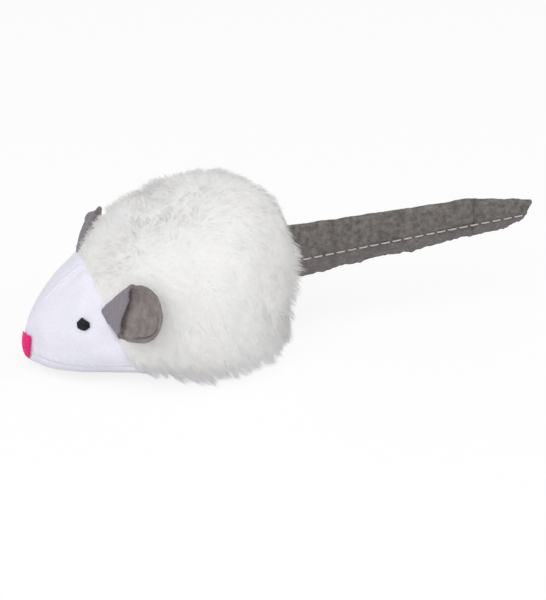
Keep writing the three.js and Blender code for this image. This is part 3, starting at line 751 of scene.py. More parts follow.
def plush_pile():
    """Long polyester fibres, brushed: nearly white and a little warm in places, with painted shade that makes
    the roots darker than the tips, darkens streaks and the low flanks, and turns the pile a colder white near
    the floor.
    """
    name = "plush_brushed_fibres"
    found = bpy.data.materials.get(name)
    if found:
        return found
    made = bpy.data.materials.new(name)
    tree = empty_tree(made)
    place = add(tree, "ShaderNodeTexCoord").outputs["Object"]
    along = add(tree, "ShaderNodeAttribute", attribute_name="along").outputs["Fac"]
    tone = add(tree, "ShaderNodeAttribute", attribute_name="tone").outputs["Fac"]
    patch = noise(tree, place, PILE_MOTTLE, 2.0)
    cool, warm = opaque("#eeeeef"), opaque("#f0eeeb")
    colour = mixed(tree, ranged(tree, patch, PILE_PATCH_RANGE), cool, warm)
    # Painted shade: darker towards the roots
    rise = ranged(tree, along, wanted=PILE_ROOT_SHADE_TO_TIP)
    # tone carries each strand's random tone and its painted shade from streaks and the low flanks
    own = ranged(tree, tone, wanted=PILE_TONE_AND_SHADE_RANGE)
    level = add(tree, "ShaderNodeMath", {0: rise, 1: own}, operation="MULTIPLY").outputs[0]
    # Painted shade: a darker, colder white near the floor
    height = add(tree, "ShaderNodeSeparateXYZ", {0: place}).outputs["Z"]
    near_floor = ranged(tree, height, (0.0, PILE_FLOOR_SHADE_HEIGHT * MM), PILE_FLOOR_SHADE_SHARES)
    colour = mixed(tree, near_floor, colour, opaque("#e9e9f3"))
    colour = mixed(tree, 1.0, colour, level, blend_type="MULTIPLY")
    cloth_shader(tree, {"Base Color": colour, "Roughness": 0.8, "Sheen Weight": 0.3})
    return made


def tail_velour():
    """Cut-pile velour, stroked in all directions, so that its nap throws lighter and darker flecks."""
    return cloth_material("velour_tail_brushed_nap", ("#5f5a57", "#827d79"), mottle=1.4, grain=0.3,
                          grain_depth=0.1, sheen=0.25, specks=(0.78, 1.12),
                          # the crease colour is painted shade
                          tints_and_shades=(("strip", "#746d71"), ("crease", "#433d3b")))


def ear_velour():
    """The same velour in a warmer grey, with a smoother nap, and painted shade in its creases."""
    return cloth_material("velour_ear_brushed_nap", ("#7f7675", "#958c8b"), mottle=1.8, grain=0.4,
                          grain_depth=0.05, sheen=0.25,
                          # the crease colour is painted shade
                          tints_and_shades=(("flap", "#8f8891"), ("crease", "#3c3331")))


def thread(name, codes, roughness=0.45):
    """Spun or filament polyester thread, with a soft gloss along its plies."""
    return cloth_material(name, codes, mottle=0.8, grain=0.15, grain_depth=0.02, sheen=0.1,
                          roughness=roughness)


def pale_thread():
    """Spun polyester sewing thread in a pale grey."""
    return thread("polyester_thread_pale_grey", ("#b4aea9", "#cdc8c3"), 0.6)


# The head

def side_grid(rows, columns, part):
    """Grid over the left of the form, from chin seam to ridge, before or behind the neck seam."""
    low = angle_at_height(np.linspace(0, 1, STATIONS), CHIN_SEAM_HEIGHT)
    t, found = form_columns(low, math.pi / 2, eased(columns))
    necks = neck_stations(t, found)
    if part == "head":
        return column_between(t, found, np.zeros(columns), necks, eased(rows))
    return column_between(t, found, necks, np.ones(columns), eased(rows))


def closed_end(grid, at_start, steps=6):
    """Adds rows that close a grid's first or last row onto the middle plane."""
    rim = grid[0] if at_start else grid[-1]
    rows = []
    for share in np.linspace(1, 0, steps, endpoint=False):
        row = rim.copy()
        row[:, 1] *= 1 - share
        rows.append(row)
    rows = np.array(rows)
    return np.concatenate([rows, grid]) if at_start else np.concatenate([grid, rows[::-1]])


def mirrored(grid):
    """The same grid on the other side of the middle plane."""
    return grid * [1, -1, 1]


def panel_piece(name, grid, lift, thickness, side):
    """Closed panel of cloth, lifted off the form by a height at each point of its grid."""
    normal = normals_of(grid)
    outer = grid + normal * lift[..., None]
    outer[..., 1] = np.minimum(outer[..., 1], -SEAM_GAP)
    inner = grid - normal * thickness
    inner[..., 1] = np.minimum(inner[..., 1], -SEAM_GAP)
    if side == "right":
        return sheet_piece(name, mirrored(outer), mirrored(inner))
    return sheet_piece(name, outer[:, ::-1], inner[:, ::-1])


def eye_place(side):
    """Middle of the eye on the form and the axes out of it, up and across."""
    t = station_at(NOSE_X + EYE_SETBACK)
    angle = float(angle_at_height(t, EYE_HEIGHT))
    step = 0.01
    centre = form_point(t, angle)
    ahead = form_point(t + step, angle) - centre
    up = form_point(t, angle + step) - centre
    out = np.cross(ahead, up)
    turn = np.array([1, -1, 1]) if side == "right" else np.ones(3)
    out, up = out / np.linalg.norm(out), up / np.linalg.norm(up)
    return centre * turn, out * turn, up * turn


def neck_seam_share(from_chin):
    """Share of its depth that the neck seam has at a distance from the chin seam."""
    return np.maximum(ramp(from_chin, *NECK_SEAM_FADE), NECK_SEAM_LEAST_SHARE)


def head_lift(grid):
    """Height of the head's cloth over the form: soft seams, puckers and the pull of the stitches."""
    from_ridge = lengths_along(grid[:, ::-1], 1)[:, ::-1]
    from_chin = lengths_along(grid, 1)
    from_neck = lengths_along(grid[::-1], 0)[::-1]
    along = lengths_along(grid, 0)
    lift = (relief(grid, HEAD_SWELL) + relief(grid, HEAD_DENTS)) * ramp(along, *HEAD_FADE)
    crisp = np.maximum(ramp(from_neck, *RIDGE_FADE), RIDGE_LEAST_SHARE)
    lift += (roll(from_ridge - RIDGE_ROLL_INSET, RIDGE_ROLL) - roll(from_ridge, RIDGE_SEAM)) * crisp
    pull = 1 + CHIN_PULL_SHARE * np.sin(along * math.pi / CHIN_PULL_PITCH)
    lift -= roll(from_chin, CHIN_SEAM) * pull * ramp(along, *CHIN_SEAM_FADE)
    lift += roll(from_chin - CHIN_PUCKER_INSET, CHIN_PUCKERS) * np.sin(along * math.pi / CHIN_PUCKER_PITCH)
    lift -= roll(from_neck, NECK_SEAM) * neck_seam_share(from_chin)
    lift += roll(from_neck, NECK_GATHERS) * waves(grid * NECK_GATHER_SHARES, NECK_GATHER_WIDTH, 5)
    centre, _, _ = eye_place("left")
    lift -= roll(np.linalg.norm(grid - centre, axis=-1), EYE_DIMPLE)
    return lift


def head_panels():
    """Left and right velboa panels of the head."""
    grid = closed_end(side_grid(*HEAD_GRID, "head"), True)
    lift = head_lift(grid)
    for side in ("left", "right"):
        name = f"head_{side}_velboa"
        piece = panel_piece(name, grid, lift, VELBOA_THICKNESS, side)
        dressed(piece, velboa(), [f"head_{side}_panel"])
        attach(piece, "toy")


def underside_panel():
    """Velboa panel under the toy, from the chin to the rump, flat where the toy rests."""
    t = np.linspace(0, 1, UNDERSIDE_STATIONS)
    x, _, base, _, _ = form_section(t)
    height = CHIN_SEAM_HEIGHT + RUMP_OVERLAP * ramp(x, *RUMP_OVERLAP_FADE)
    low = angle_at_height(t, height)
    rows, columns = UNDERSIDE_GRID
    t, found = form_columns(-math.pi - low, low, eased(columns), UNDERSIDE_STATIONS)
    end = float(t[np.nonzero(base < height)[0][-1]])
    grid = column_between(t, found, np.zeros(columns), np.full(columns, end), eased(rows))
    closing = np.repeat(grid[:1], UNDERSIDE_END_ROWS, axis=0)
    shares = np.linspace(1, UNDERSIDE_END_SHARE, UNDERSIDE_END_ROWS)
    closing[..., 2] += (CHIN_SEAM_HEIGHT - closing[..., 2]) * shares[:, None]
    grid = np.concatenate([closing, grid])
    from_edge = np.minimum(lengths_along(grid, 1), lengths_along(grid[:, ::-1], 1)[:, ::-1])
    begun = ramp(grid[..., 0] - NOSE_X, *UNDERSIDE_FADE)
    lift = (relief(grid, UNDERSIDE_SWELL) - roll(from_edge, UNDERSIDE_SEAM)) * begun - low_rump(grid)
    normal = normals_of(grid)
    outer = grid + normal * lift[..., None]
    outer[..., 2] = np.maximum(outer[..., 2], 0.0)
    inner = grid - normal * VELBOA_THICKNESS
    piece = sheet_piece("underside_velboa", outer[:, ::-1], inner[:, ::-1])
    dressed(piece, velboa(), ["underside_panel"])
    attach(piece, "toy")


# The plush body

def low_rump(points):
    """Depth by which the fur lies flatter under the tail."""
    behind = ramp(points[..., 0], *LOW_RUMP_FADE)
    under = ramp(points[..., 2], *LOW_RUMP_TOP_FADE)
    return LOW_RUMP_DEPTH * behind * under * ramp(points[..., 2], *LOW_RUMP_FLOOR_FADE)


def backing_panels():
    """Left and right plush panels, as dense as the pile is at its foot."""
    grid = closed_end(side_grid(*FOOT_GRID, "body"), False)
    lift = relief(grid, FOOT_CLUMPS) + relief(grid, FOOT_TUFTS) - BACKING_DEPTH - low_rump(grid)
    lift -= roll(lengths_along(grid, 0), FOOT_NECK_SEAM) * neck_seam_share(lengths_along(grid, 1))
    for side in ("left", "right"):
        name = f"body_{side}_plush_foot"
        piece = panel_piece(name, grid, lift, BACKING_DEPTH + BACKING_THICKNESS, side)
        dressed(piece, plush_backing(), [f"body_{side}_panel"])
        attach(piece, "toy")


def fur_roots(grid, count, rng):
    """Places spread over a grid's area, closer near the floor, with the outward normal at each."""
    cross = np.cross(np.diff(grid, axis=0)[:, :-1], np.diff(grid, axis=1)[:-1])
    area = np.linalg.norm(cross, axis=-1)
    area *= 1 + FLOOR_DENSITY_SHARE * ramp(grid[:-1, :-1, 2], *FLOOR_DENSITY_FADE)
    cell = rng.choice(area.size, count, p=area.ravel() / area.sum())
    i, j = np.divmod(cell, area.shape[1])
    f, g = rng.random((2, count, 1))
    normal = normals_of(grid)

    def between(values):
        low = values[i, j] * (1 - g) + values[i, j + 1] * g
        high = values[i + 1, j] * (1 - g) + values[i + 1, j + 1] * g
        return low * (1 - f) + high * f

    found = between(normal)
    return between(grid), found / np.linalg.norm(found, axis=1, keepdims=True)


def unit(vectors):
    """Vectors of length one."""
    return vectors / np.maximum(np.linalg.norm(vectors, axis=-1, keepdims=True), 1e-9)


def from_tail(points):
    """Distance from the place where the tail leaves the body."""
    return np.linalg.norm(points - [RUMP_X, 0, TAIL_ROOT_MIDDLE], axis=-1)


def from_cowlick(points):
    """Distance from the tuft that sticks out of the rump."""
    return np.linalg.norm(points - COWLICK, axis=-1)


def comb_ways(roots, normals):
    """Way that the pile was stroked at each root: down and back, and outwards where it meets the floor."""
    swirl = np.stack([waves(roots, COMB_SWIRL_WIDTH, seed) for seed in COMB_SWIRL_SEEDS], -1)
    way = np.array(COMB_WAY) + COMB_SWIRL_SHARE * swirl
    swept = RUMP_SWEEP_SHARE * ramp(roots[:, 0], *RUMP_SWEEP_FADE)
    way[:, 0] += swept * ramp(roots[:, 2], *RUMP_SWEEP_HEIGHT_FADE)
    way[:, 1] += relief(roots * [1, 0, 0], RIDGE_LEAN) * bump(roots[:, 1], RIDGE_LEAN_WIDTH)
    way -= (way * normals).sum(-1, keepdims=True) * normals
    way[:, 0] += roll(from_tail(roots), TAIL_SWEEP)
    near_floor = ramp(roots[:, 2:], *FLOOR_SPREAD_FADE)
    near_floor = near_floor * (1 - FLOOR_RUMP_SHARE * ramp(roots[:, :1], *FLOOR_RUMP_FADE))
    return way + FLOOR_SPREAD_SHARE * near_floor * unit(normals * [1, 1, 0])


def strand_curves(roots, normals, lengths, rng):
    """Four points along every strand, which leaves the cloth upright and bends the way it is combed."""
    combs = comb_ways(roots, normals)
    jitter = rng.normal(size=roots.shape)
    stand = np.where(rng.random((len(roots), 1)) < FLYAWAY_SHARE, FLYAWAY_STAND, 1) * STAND_SHARE
    raised = 1 + STAND_WAVE_SHARE * np.clip(waves(roots, STAND_WAVE_WIDTH, 25), 0, 1)
    stand = stand * (raised + bump(from_cowlick(roots), COWLICK_STAND_WIDTH))[:, None]
    start = unit(normals * stand + combs * ROOT_COMB_SHARE + ROOT_JITTER_SHARE * jitter)
    end = unit(normals * TIP_STAND_SHARE * stand + combs + TIP_JITTER_SHARE * jitter)
    s = STRAND_STEPS[None, :, None]
    way = start[:, None] * s + (end - start)[:, None] * s ** 2 / 2
    return roots[:, None] + lengths[:, None, None] * way


def gathered(curves, per_tuft, pull, rng):
    """Draws the strands of each tuft towards its middle strand, most of all at their tips."""
    heads = rng.choice(len(curves), max(len(curves) // per_tuft, 1), replace=False)
    tree = KDTree(len(heads))
    for number, head in enumerate(heads):
        tree.insert(curves[head, 0], number)
    tree.balance()
    nearest = heads[[tree.find(root)[1] for root in curves[:, 0]]]
    share = np.reshape(pull, (-1, 1, 1)) * STRAND_STEPS[None, :, None] ** GATHER_POWER
    return curves + (curves[nearest] - curves) * share


def kept_off_ears(curves):
    """Moves strands that would pierce an ear behind it."""
    for side in ("left", "right"):
        origin, axes = ear_axes(side)
        local = (curves - origin) @ axes.T
        near = (local[..., 0] > EAR_CLEAR_START) & (local[..., 0] < EAR_CLEAR_END)
        near &= np.abs(local[..., 1]) < EAR_CLEAR_HALF_WIDTH
        limit = -EAR_HALF_THICKNESS - EAR_CUP_DEPTH - EAR_CLEARANCE
        push = np.where(near, np.minimum(limit - local[..., 2], 0), 0)
        curves = curves + push[..., None] * axes[2]
    return curves


def strands_piece(name, curves, normals, radius, tones_and_shade):
    """One object of three-sided strands that narrow to their tips."""
    count, rings = len(curves), len(STRAND_STEPS) - 1
    way = unit(np.gradient(curves, axis=1))
    rng = np.random.default_rng(len(name))
    aside = unit(np.cross(way, rng.normal(size=(count, 1, 3))))
    other = np.cross(way, aside)
    angle = np.arange(3) * 2 * math.pi / 3
    width = radius * (1 - STRAND_TAPER_SHARE * STRAND_STEPS[:rings] ** STRAND_TAPER_POWER)
    ring = (np.cos(angle)[:, None] * aside[:, :rings, None] + np.sin(angle)[:, None] * other[:, :rings, None])
    sides = curves[:, :rings, None] + width[None, :, None, None] * ring
    points = np.concatenate([sides.reshape(count, rings * 3, 3), curves[:, -1:]], axis=1)
    each = rings * 3 + 1
    first = np.arange(count)[:, None, None] * each
    quads = (first + grid_quads(rings, 3, around=True)[None]).reshape(-1, 4)
    tip = np.array([[each - 4 + k, each - 4 + (k + 1) % 3, each - 1] for k in range(3)] + [[2, 1, 0]])
    triangles = (first + tip[None]).reshape(-1, 3)
    along = np.tile(np.concatenate([np.repeat(STRAND_STEPS[:rings], 3), [1]]), count)
    outward = np.concatenate([ring.reshape(count, rings * 3, 3), way[:, -1:]], axis=1)
    facing = unit(STRAND_ROUND_SHARE * outward + normals[:, None]).reshape(-1, 3)
    points[..., 2] = np.maximum(points[..., 2], STRAND_FLOOR)
    # tone holds the random tone and the painted shade of each strand
    values = {"along": along, "tone": np.repeat(tones_and_shade, each)}
    return mesh_piece(name, points.reshape(-1, 3), quads, triangles, values, facing)


def fur_lengths(roots, normals, longest):
    """Length of the pile at each root: short by the neck seam, longest low on the flanks."""
    behind = behind_neck(roots)
    low = ramp(roots[:, 2], *LENGTH_FADE)
    length = longest * (LENGTH_SHARES[0] + LENGTH_SHARES[1] * low) * (1 + relief(roots, LENGTH_WAVES))
    length *= 1 + roll(from_tail(roots), TAIL_LENGTHENING) + roll(from_cowlick(roots), COWLICK_LENGTHENING)
    shortest = NECK_LENGTH_SHARES[0] + NECK_LENGTH_SHARES[1] * low
    reach = NECK_LENGTH_REACH + NECK_LENGTH_LOW_REACH * low
    return length * (shortest + (1 - shortest) * np.clip(behind / reach, 0, 1))


def fur(context):
    """Long pile over the body, as several pieces that ride on the toy."""
    settings = context.scene.catnip_mouse_fur
    grid = side_grid(*FUR_GRID, "body")
    strands = settings.strands // 2
    for side, turn, seed in (("left", 1, 41), ("right", -1, 42)):
        rng = np.random.default_rng(seed)
        roots, normals = fur_roots(grid, strands, rng)
        roots, normals = roots * [1, turn, 1], normals * [1, turn, 1]
        in_tail = (np.abs(roots[:, 1]) < TAIL_BARE_HALF_WIDTH) & (roots[:, 0] > TAIL_BARE_START)
        in_tail &= np.abs(roots[:, 2] - TAIL_BARE_MIDDLE) < TAIL_BARE_HALF_HEIGHT
        roots, normals = roots[~in_tail], normals[~in_tail]
        roots = roots - normals * (settings.root_depth / MM + low_rump(roots)[:, None])
        lengths = fur_lengths(roots, normals, settings.strand_length / MM)
        lengths *= rng.uniform(*LENGTH_SPREAD_SHARES, len(roots))
        curves = strand_curves(roots, normals, lengths, rng)
        low = ramp(roots[:, 2], *LOW_FLANK_FADE)
        for per_tuft, pull, low_pull in TUFTS:
            curves = gathered(curves, per_tuft, pull + low_pull * low, rng)
        curves = kept_off_ears(curves)
        streaks = waves(roots * STREAK_SHARES, STREAK_WIDTH, seed + 5)
        lean = streaks * (STREAK_LEAN_SHARES[0] + STREAK_LEAN_SHARES[1] * low)
        facing = unit(normals + unit(np.cross(normals, [0, 0, 1])) * lean[:, None])
        # Painted shade, partly random tone: strands are darkened in streaks, at random and most of all low on
        # the flanks, in place of the shade between tufts that the strands don't cast
        every, streaked, chance = SHADE_SHARES
        shade = np.clip(every + streaked * streaks + chance * rng.random(len(roots)), 0, 1) ** 2
        tones_and_shade = 1 - (SHADE_DEPTH_SHARES[0] + SHADE_DEPTH_SHARES[1] * low) * shade
        order = np.argsort(roots[:, 0])
        parts = np.array_split(order, settings.pieces_per_side)
        for number, part in enumerate(parts):
            name = f"fur_{side}_{number + 1}"
            piece = strands_piece(name, curves[part], facing[part], settings.strand_radius / MM, tones_and_shade[part])
            dressed(piece, plush_pile())
            # Unlike real pile, the strands cast no shadow and throw no light, which keeps the pile even
            piece.visible_shadow = False
            piece.visible_diffuse = False
            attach(piece, "toy")


# Face

def thread_tube(path, radius, turns, plies=2, sides=8, taper=0.35):
    """Rings of a twisted thread along a path, thinner where it goes into the cloth."""
    path = np.asarray(path, float)
    along = np.linspace(0, 1, len(path))
    ends = np.clip(np.minimum(along, 1 - along) / THREAD_END_SHARE, 0, 1)
    width = radius * (taper + (1 - taper) * np.sqrt(ends))
    return tube_rings(path, width, sides, plies, turns * plies, PLY_DEPTH_SHARE)


def snout_half(ts, height, slope):
    """Half width of the snout at stations, where a plane that rises outwards by slope cuts it."""
    _, half, base, middle, top = form_section(ts)
    wide = np.zeros_like(half)
    for _ in range(SEARCH_STEPS):
        level = height + wide * slope
        above = level > middle
        share = np.where(above, (level - middle) / (top - middle), (middle - level) / (middle - base))
        power = np.where(above, value_at(UPPER_POWERS, ts), value_at(LOWER_POWERS, ts))
        cut = SNOUT_NEW_SHARE * half * np.maximum(1 - np.clip(share, 0, 1) ** power, 0) ** (1 / power)
        wide = SNOUT_KEPT_SHARE * wide + cut
    return wide


def nose_path(height, offset):
    """Path of one nose stitch: where a tilted plane cuts the snout, from side to side round its front."""
    ts = np.linspace(NOSE_START_SHARE, 0, NOSE_STATIONS)
    x = form_section(ts)[0]
    end = abs(2 * (height - NOSE_LOW) / (NOSE_HIGH - NOSE_LOW) - 1)
    limit = NOSE_WIDTH / 2 * (1 - NOSE_NARROWING_SHARE * end ** 4) - offset
    halves = []
    for way in (-1, 1):
        slope = -way * math.tan(NOSE_ROLL)
        wide = snout_half(ts, height, slope)
        within = wide < limit
        within[-1] = True
        wide = np.minimum(wide, limit)
        halves.append(np.stack([x, way * wide, height + wide * slope], -1)[within])
    left, right = halves
    share = np.linspace(0, 1, NOSE_FRONT_STEPS)[1:-1, None]
    front = left[-1] * (1 - share) + right[-1] * share
    front[:, 0] -= NOSE_BULGE * (1 - end ** 2) * 4 * (share * (1 - share))[:, 0]
    path = resampled(np.concatenate([left, front, right[::-1]]), np.linspace(0, 1, NOSE_PATH_STEPS))
    return path + offset * unit(path - NOSE_HEART)


def nose():
    """Pink satin stitches laid side by side over the tip of the snout."""
    rng = np.random.default_rng(51)
    tubes = []
    heights = np.arange(NOSE_LOW + NOSE_THREAD_RADIUS, NOSE_HIGH - NOSE_THREAD_RADIUS / 2, NOSE_THREAD_PITCH)
    for number, height in enumerate(heights):
        path = nose_path(height, NOSE_THREAD_LIFT + NOSE_THREAD_STAGGER * (number % 2))
        path[:, 2] += NOSE_UNEVENNESS * rng.normal() + NOSE_SWAY * np.sin(path[:, 1] + rng.uniform(0, 6))
        tubes.append(thread_tube(path, NOSE_THREAD_RADIUS, NOSE_THREAD_TURNS))
    piece = tubes_piece("nose_satin_stitches", tubes)
    material = thread("polyester_thread_magenta_satin", ("#f80878", "#ff1c92"), 0.6)
    dressed(piece, material, ["nose_stitches"])
    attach(piece, "toy")


def eyes():
    """Black embroidered eyes: stitches of uneven length over a raised middle."""
    material = thread("polyester_thread_black", ("#101219", "#1d2029"))
    for side in ("left", "right"):
        rng = np.random.default_rng(52)
        centre, out, up = eye_place(side)
        across = np.cross(out, up)
        tubes = []
        for k in np.linspace(-1, 1, EYE_THREADS):
            most, loss, middle = EYE_RISE_SHARES
            rise = EYE_RADIUS * (most - loss * abs(k - middle)) * rng.uniform(*EYE_SPREAD_SHARES)
            most, loss, level = EYE_FALL_SHARES
            fall = EYE_RADIUS * (most - loss * max(abs(k) - level, 0)) * rng.uniform(*EYE_SPREAD_SHARES)
            s = np.linspace(-1, 1, EYE_THREAD_STEPS)[:, None]
            reach = np.where(s > 0, rise, fall)
            lengthwise, crosswise = EYE_CROWN_SHARES
            height = EYE_BULGE * (1 - lengthwise * s ** 2) * (1 - crosswise * k ** 2) - EYE_SINK
            path = centre + across * k * EYE_RADIUS * EYE_WIDTH_SHARE + up * s * reach + out * height
            tubes.append(thread_tube(path, EYE_THREAD_RADIUS, EYE_THREAD_TURNS))
        piece = tubes_piece(f"{side}_eye_satin_stitches", tubes)
        dressed(piece, material, [f"{side}_eye_stitches"])
        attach(piece, "toy")


# Ears

def neck_point_at_height(height):
    """Point on the left of the neck seam at a height."""
    t = station_at(NECK_X)
    for _ in range(SEARCH_STEPS):
        point = form_point(t, angle_at_height(t, height))
        t = station_at(NECK_X + (NECK_TOP - height) * math.tan(NECK_LEAN))
    return point


def ear_axes(side):
    """Middle of the ear's base, and its axes outwards, along the base and to the cup's face."""
    low, high = neck_point_at_height(EAR_BASE_LOW), neck_point_at_height(EAR_BASE_HIGH)
    along = unit(high - low)
    level = math.cos(EAR_RISE)
    out = np.array([level * math.cos(EAR_SPLAY), -level * math.sin(EAR_SPLAY), math.sin(EAR_RISE)])
    out = unit(out - (out @ along) * along)
    axes = np.array([out, along, np.cross(out, along)])
    origin = (low + high) / 2
    if side == "right":
        c, s = math.cos(FAR_EAR_DROOP), math.sin(FAR_EAR_DROOP)
        axes = np.array([axes[0] * c - axes[1] * s, axes[1] * c + axes[0] * s, axes[2]])
        c, s = math.cos(FAR_EAR_TILT), math.sin(FAR_EAR_TILT)
        axes = np.array([axes[0] * c + axes[2] * s, axes[1], axes[2] * c - axes[0] * s])
        return origin * [1, -1, 1], axes * [1, -1, 1]
    return origin, axes


def smooth(values, low, high):
    """Smooth step from 0 at low to 1 at high."""
    f = ramp(values, low, high)
    return f * f * (3 - 2 * f)


def rim_half(out):
    """Half the height of the ear's round part at a distance out."""
    return math.sqrt(max(EAR_RADIUS ** 2 - (out - EAR_CENTRE_REACH) ** 2, 0))


def flap_length(out):
    """Length of the folded-over flap at a distance out."""
    return max(EAR_FLAP_LENGTH * float(value_at(FLAP_SHARES, out / EAR_FOLD_END)), EAR_LEAST_FLAP)


def ear_row(out, columns):
    """Line across the ear at a distance out: over the cup, round the fold and down the flap."""
    low, high = neck_point_at_height(EAR_BASE_LOW), neck_point_at_height(EAR_BASE_HIGH)
    half_base = float(np.linalg.norm(high - low)) / 2
    share = out / EAR_FOLD_END
    upper = rim_half(out) - EAR_DROP
    if out < EAR_FOLD_END:
        upper = half_base + (rim_half(EAR_FOLD_END) - EAR_DROP - half_base) * share
    most, along_fold, past_fold = FOLD_INSET_SHARES
    unfolded = smooth(share, *FOLD_FADE_SHARES)
    upper -= EAR_FOLD_INSET * (most - along_fold * min(share, 1) - past_fold * unfolded)
    lower = -rim_half(out) - EAR_DROP
    if out < EAR_RIM_START:
        lower = -half_base + (half_base - rim_half(EAR_RIM_START) - EAR_DROP) * out / EAR_RIM_START
    bend = max(FOLD_ANGLE * (1 - unfolded), LEAST_BEND)
    radius = max(EAR_FOLD_RADIUS * bend, EAR_LEAST_FLAP) / bend
    flap = flap_length(out)
    overhang = radius if bend > math.pi / 2 else radius * math.sin(bend) + flap * math.cos(bend)
    start = upper - overhang
    across = np.linspace(lower, start, CUP_STEPS)
    away = np.minimum(np.hypot(out - EAR_CENTRE_REACH, across + EAR_DROP) / EAR_RADIUS, 1)
    settled = smooth(out / EAR_CENTRE_REACH, *SETTLE_SHARES)
    cup = EAR_STAND_OFF * settled - EAR_FOLD_RADIUS - EAR_CUP_DEPTH * (1 - away ** 2)
    pocket = EAR_POCKET * bump(across - start + flap, EAR_POCKET_WIDTH)
    cup -= pocket * bump(out - EAR_POCKET_REACH, EAR_POCKET_LENGTH)
    angle = np.linspace(0, bend, FOLD_STEPS)[1:]
    turned = np.stack([start + radius * np.sin(angle), cup[-1] + radius * (1 - np.cos(angle))], -1)
    length = np.linspace(0, flap, FOLD_STEPS)[1:, None]
    hung = turned[-1] + length * [math.cos(bend), math.sin(bend)]
    flat = np.concatenate([np.stack([across, cup], -1), turned, hung])
    twist = EAR_TWIST * settled
    flat = flat @ [[math.cos(twist), -math.sin(twist)], [math.sin(twist), math.cos(twist)]]
    line = np.concatenate([np.full((len(flat), 1), out), flat], axis=1)
    return resampled(line, eased(columns, EAR_EASE))


def ear_grid(columns=EAR_COLUMNS):
    """Grid of the ear's middle surface in its own axes, and the length of the flap at each row."""
    outs = list(np.linspace(EAR_START, EAR_FOLD_END, EAR_ROWS_TO_FOLD_END, endpoint=False))
    angles = np.linspace(FOLD_END_ANGLE, RIM_END_ANGLE, EAR_ROWS_TO_RIM)
    outs += list(EAR_CENTRE_REACH + EAR_RADIUS * np.sin(angles))
    return np.array([ear_row(out, columns) for out in outs]), np.array([flap_length(out) for out in outs])


def ears():
    """Velour ears: two layers sewn round the rim and turned, with the front edge folded over."""
    grid, flaps = ear_grid()
    across = lengths_along(grid, 1)
    flat = np.stack([grid[..., 0], across], -1)
    border = np.concatenate([flat[:, 0], flat[-1], flat[::-1, -1]])
    gaps = np.linalg.norm(flat[:, :, None] - border[None, None], axis=-1)
    from_rim = gaps.min(-1)
    rounded = 1 - (1 - np.clip(from_rim / EAR_RIM_ROUND, 0, 1)) ** 2
    rounded = np.sqrt(np.clip(rounded, EAR_LEAST_ROUND, 1))
    at_base, beyond = EAR_BASE_ROUND_SHARES
    rounded *= at_base + beyond * smooth(grid[..., 0], *EAR_BASE_FADE)
    normal = normals_of(grid)
    folded = grid[..., 0] < EAR_CENTRE_REACH
    on_flap = smooth(across - across[:, -1:] + flaps[:, None], *FLAP_EDGE_FADE) * folded
    to_edge = KDTree(len(grid))
    for number, point in enumerate(grid[:, -1]):
        to_edge.insert(point, number)
    to_edge.balance()
    gap = np.array([to_edge.find(point)[2] for point in grid.reshape(-1, 3)]).reshape(across.shape)
    low_rim = smooth(-grid[..., 1], *LOW_RIM_FADE) * smooth(grid[..., 0], *LOW_RIM_REACH_FADE)
    seam = bump(from_rim - EAR_SEAM_INSET - relief(grid, EAR_SEAM_DRIFT), EAR_SEAM_WIDTH)
    ripple = relief(grid, EAR_RIPPLE) * ramp(from_rim, *EAR_RIPPLE_FADE) + relief(grid, EAR_CRINKLE)
    ribs = np.sin(grid[..., 0] * 2 * math.pi / EAR_RIB_PITCH + relief(grid, EAR_RIB_DRIFT))
    ripple += EAR_RIB_HEIGHT * on_flap * ribs
    centre = grid + normal * (ripple[..., None] - EAR_SHIFT)
    swell = EAR_HALF_THICKNESS * rounded - (EAR_SEAM_DEPTH + EAR_LOW_SEAM_DEPTH * low_rim) * seam
    # Painted shade: a darker colour under the flap, along the low seam and up the cup towards the fold
    depth = bump(gap, CREASE_SHADE_WIDTH) * (1 - on_flap) * folded * smooth(-grid[..., 0], *CREASE_SHADE_REACH_FADE)
    under_flap, low_seam, near_fold = CREASE_SHADE_SHARES
    outside_shade = low_seam * seam * low_rim + near_fold * smooth(grid[..., 1], *CREASE_SHADE_HEIGHT_FADE)
    crease = np.clip(under_flap * depth + outside_shade * (1 - on_flap), 0, 1)
    shades = {"crease": crease, "flap": on_flap}
    layers = {
        "inner": (centre + normal * swell[..., None], centre + normal * EAR_LAYER_GAP),
        "outer": (centre - normal * EAR_LAYER_GAP, centre - normal * swell[..., None]),
    }
    for side in ("left", "right"):
        origin, axes = ear_axes(side)
        for layer, (front, back) in layers.items():
            front, back = origin + front @ axes, origin + back @ axes
            values = {key: np.stack([value, value]) for key, value in shades.items()}
            if side == "left":
                front, back = front[:, ::-1], back[:, ::-1]
                values = {key: value[:, :, ::-1] for key, value in values.items()}
            piece = sheet_piece(f"{side}_ear_{layer}_velour", front, back, values)
            dressed(piece, ear_velour(), [f"{side}_ear_{layer}_layer"])
            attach(piece, f"{side}_ear")


# Tail

def strip_at(x):
    """Middle and height of the tail's strip at distances along X."""
    places = [TAIL_START, RUMP_X, RUMP_X + TAIL_CREASE_REACH, RUMP_X + TAIL_REACH]
    middles = [TAIL_ROOT_MIDDLE, TAIL_ROOT_MIDDLE, TAIL_CREASE_MIDDLE, TAIL_TIP_MIDDLE]
    heights = [TAIL_ROOT_HEIGHT, TAIL_ROOT_HEIGHT, TAIL_CREASE_HEIGHT, TAIL_TIP_HEIGHT]
    return np.interp(x, places, middles), np.interp(x, places, heights)


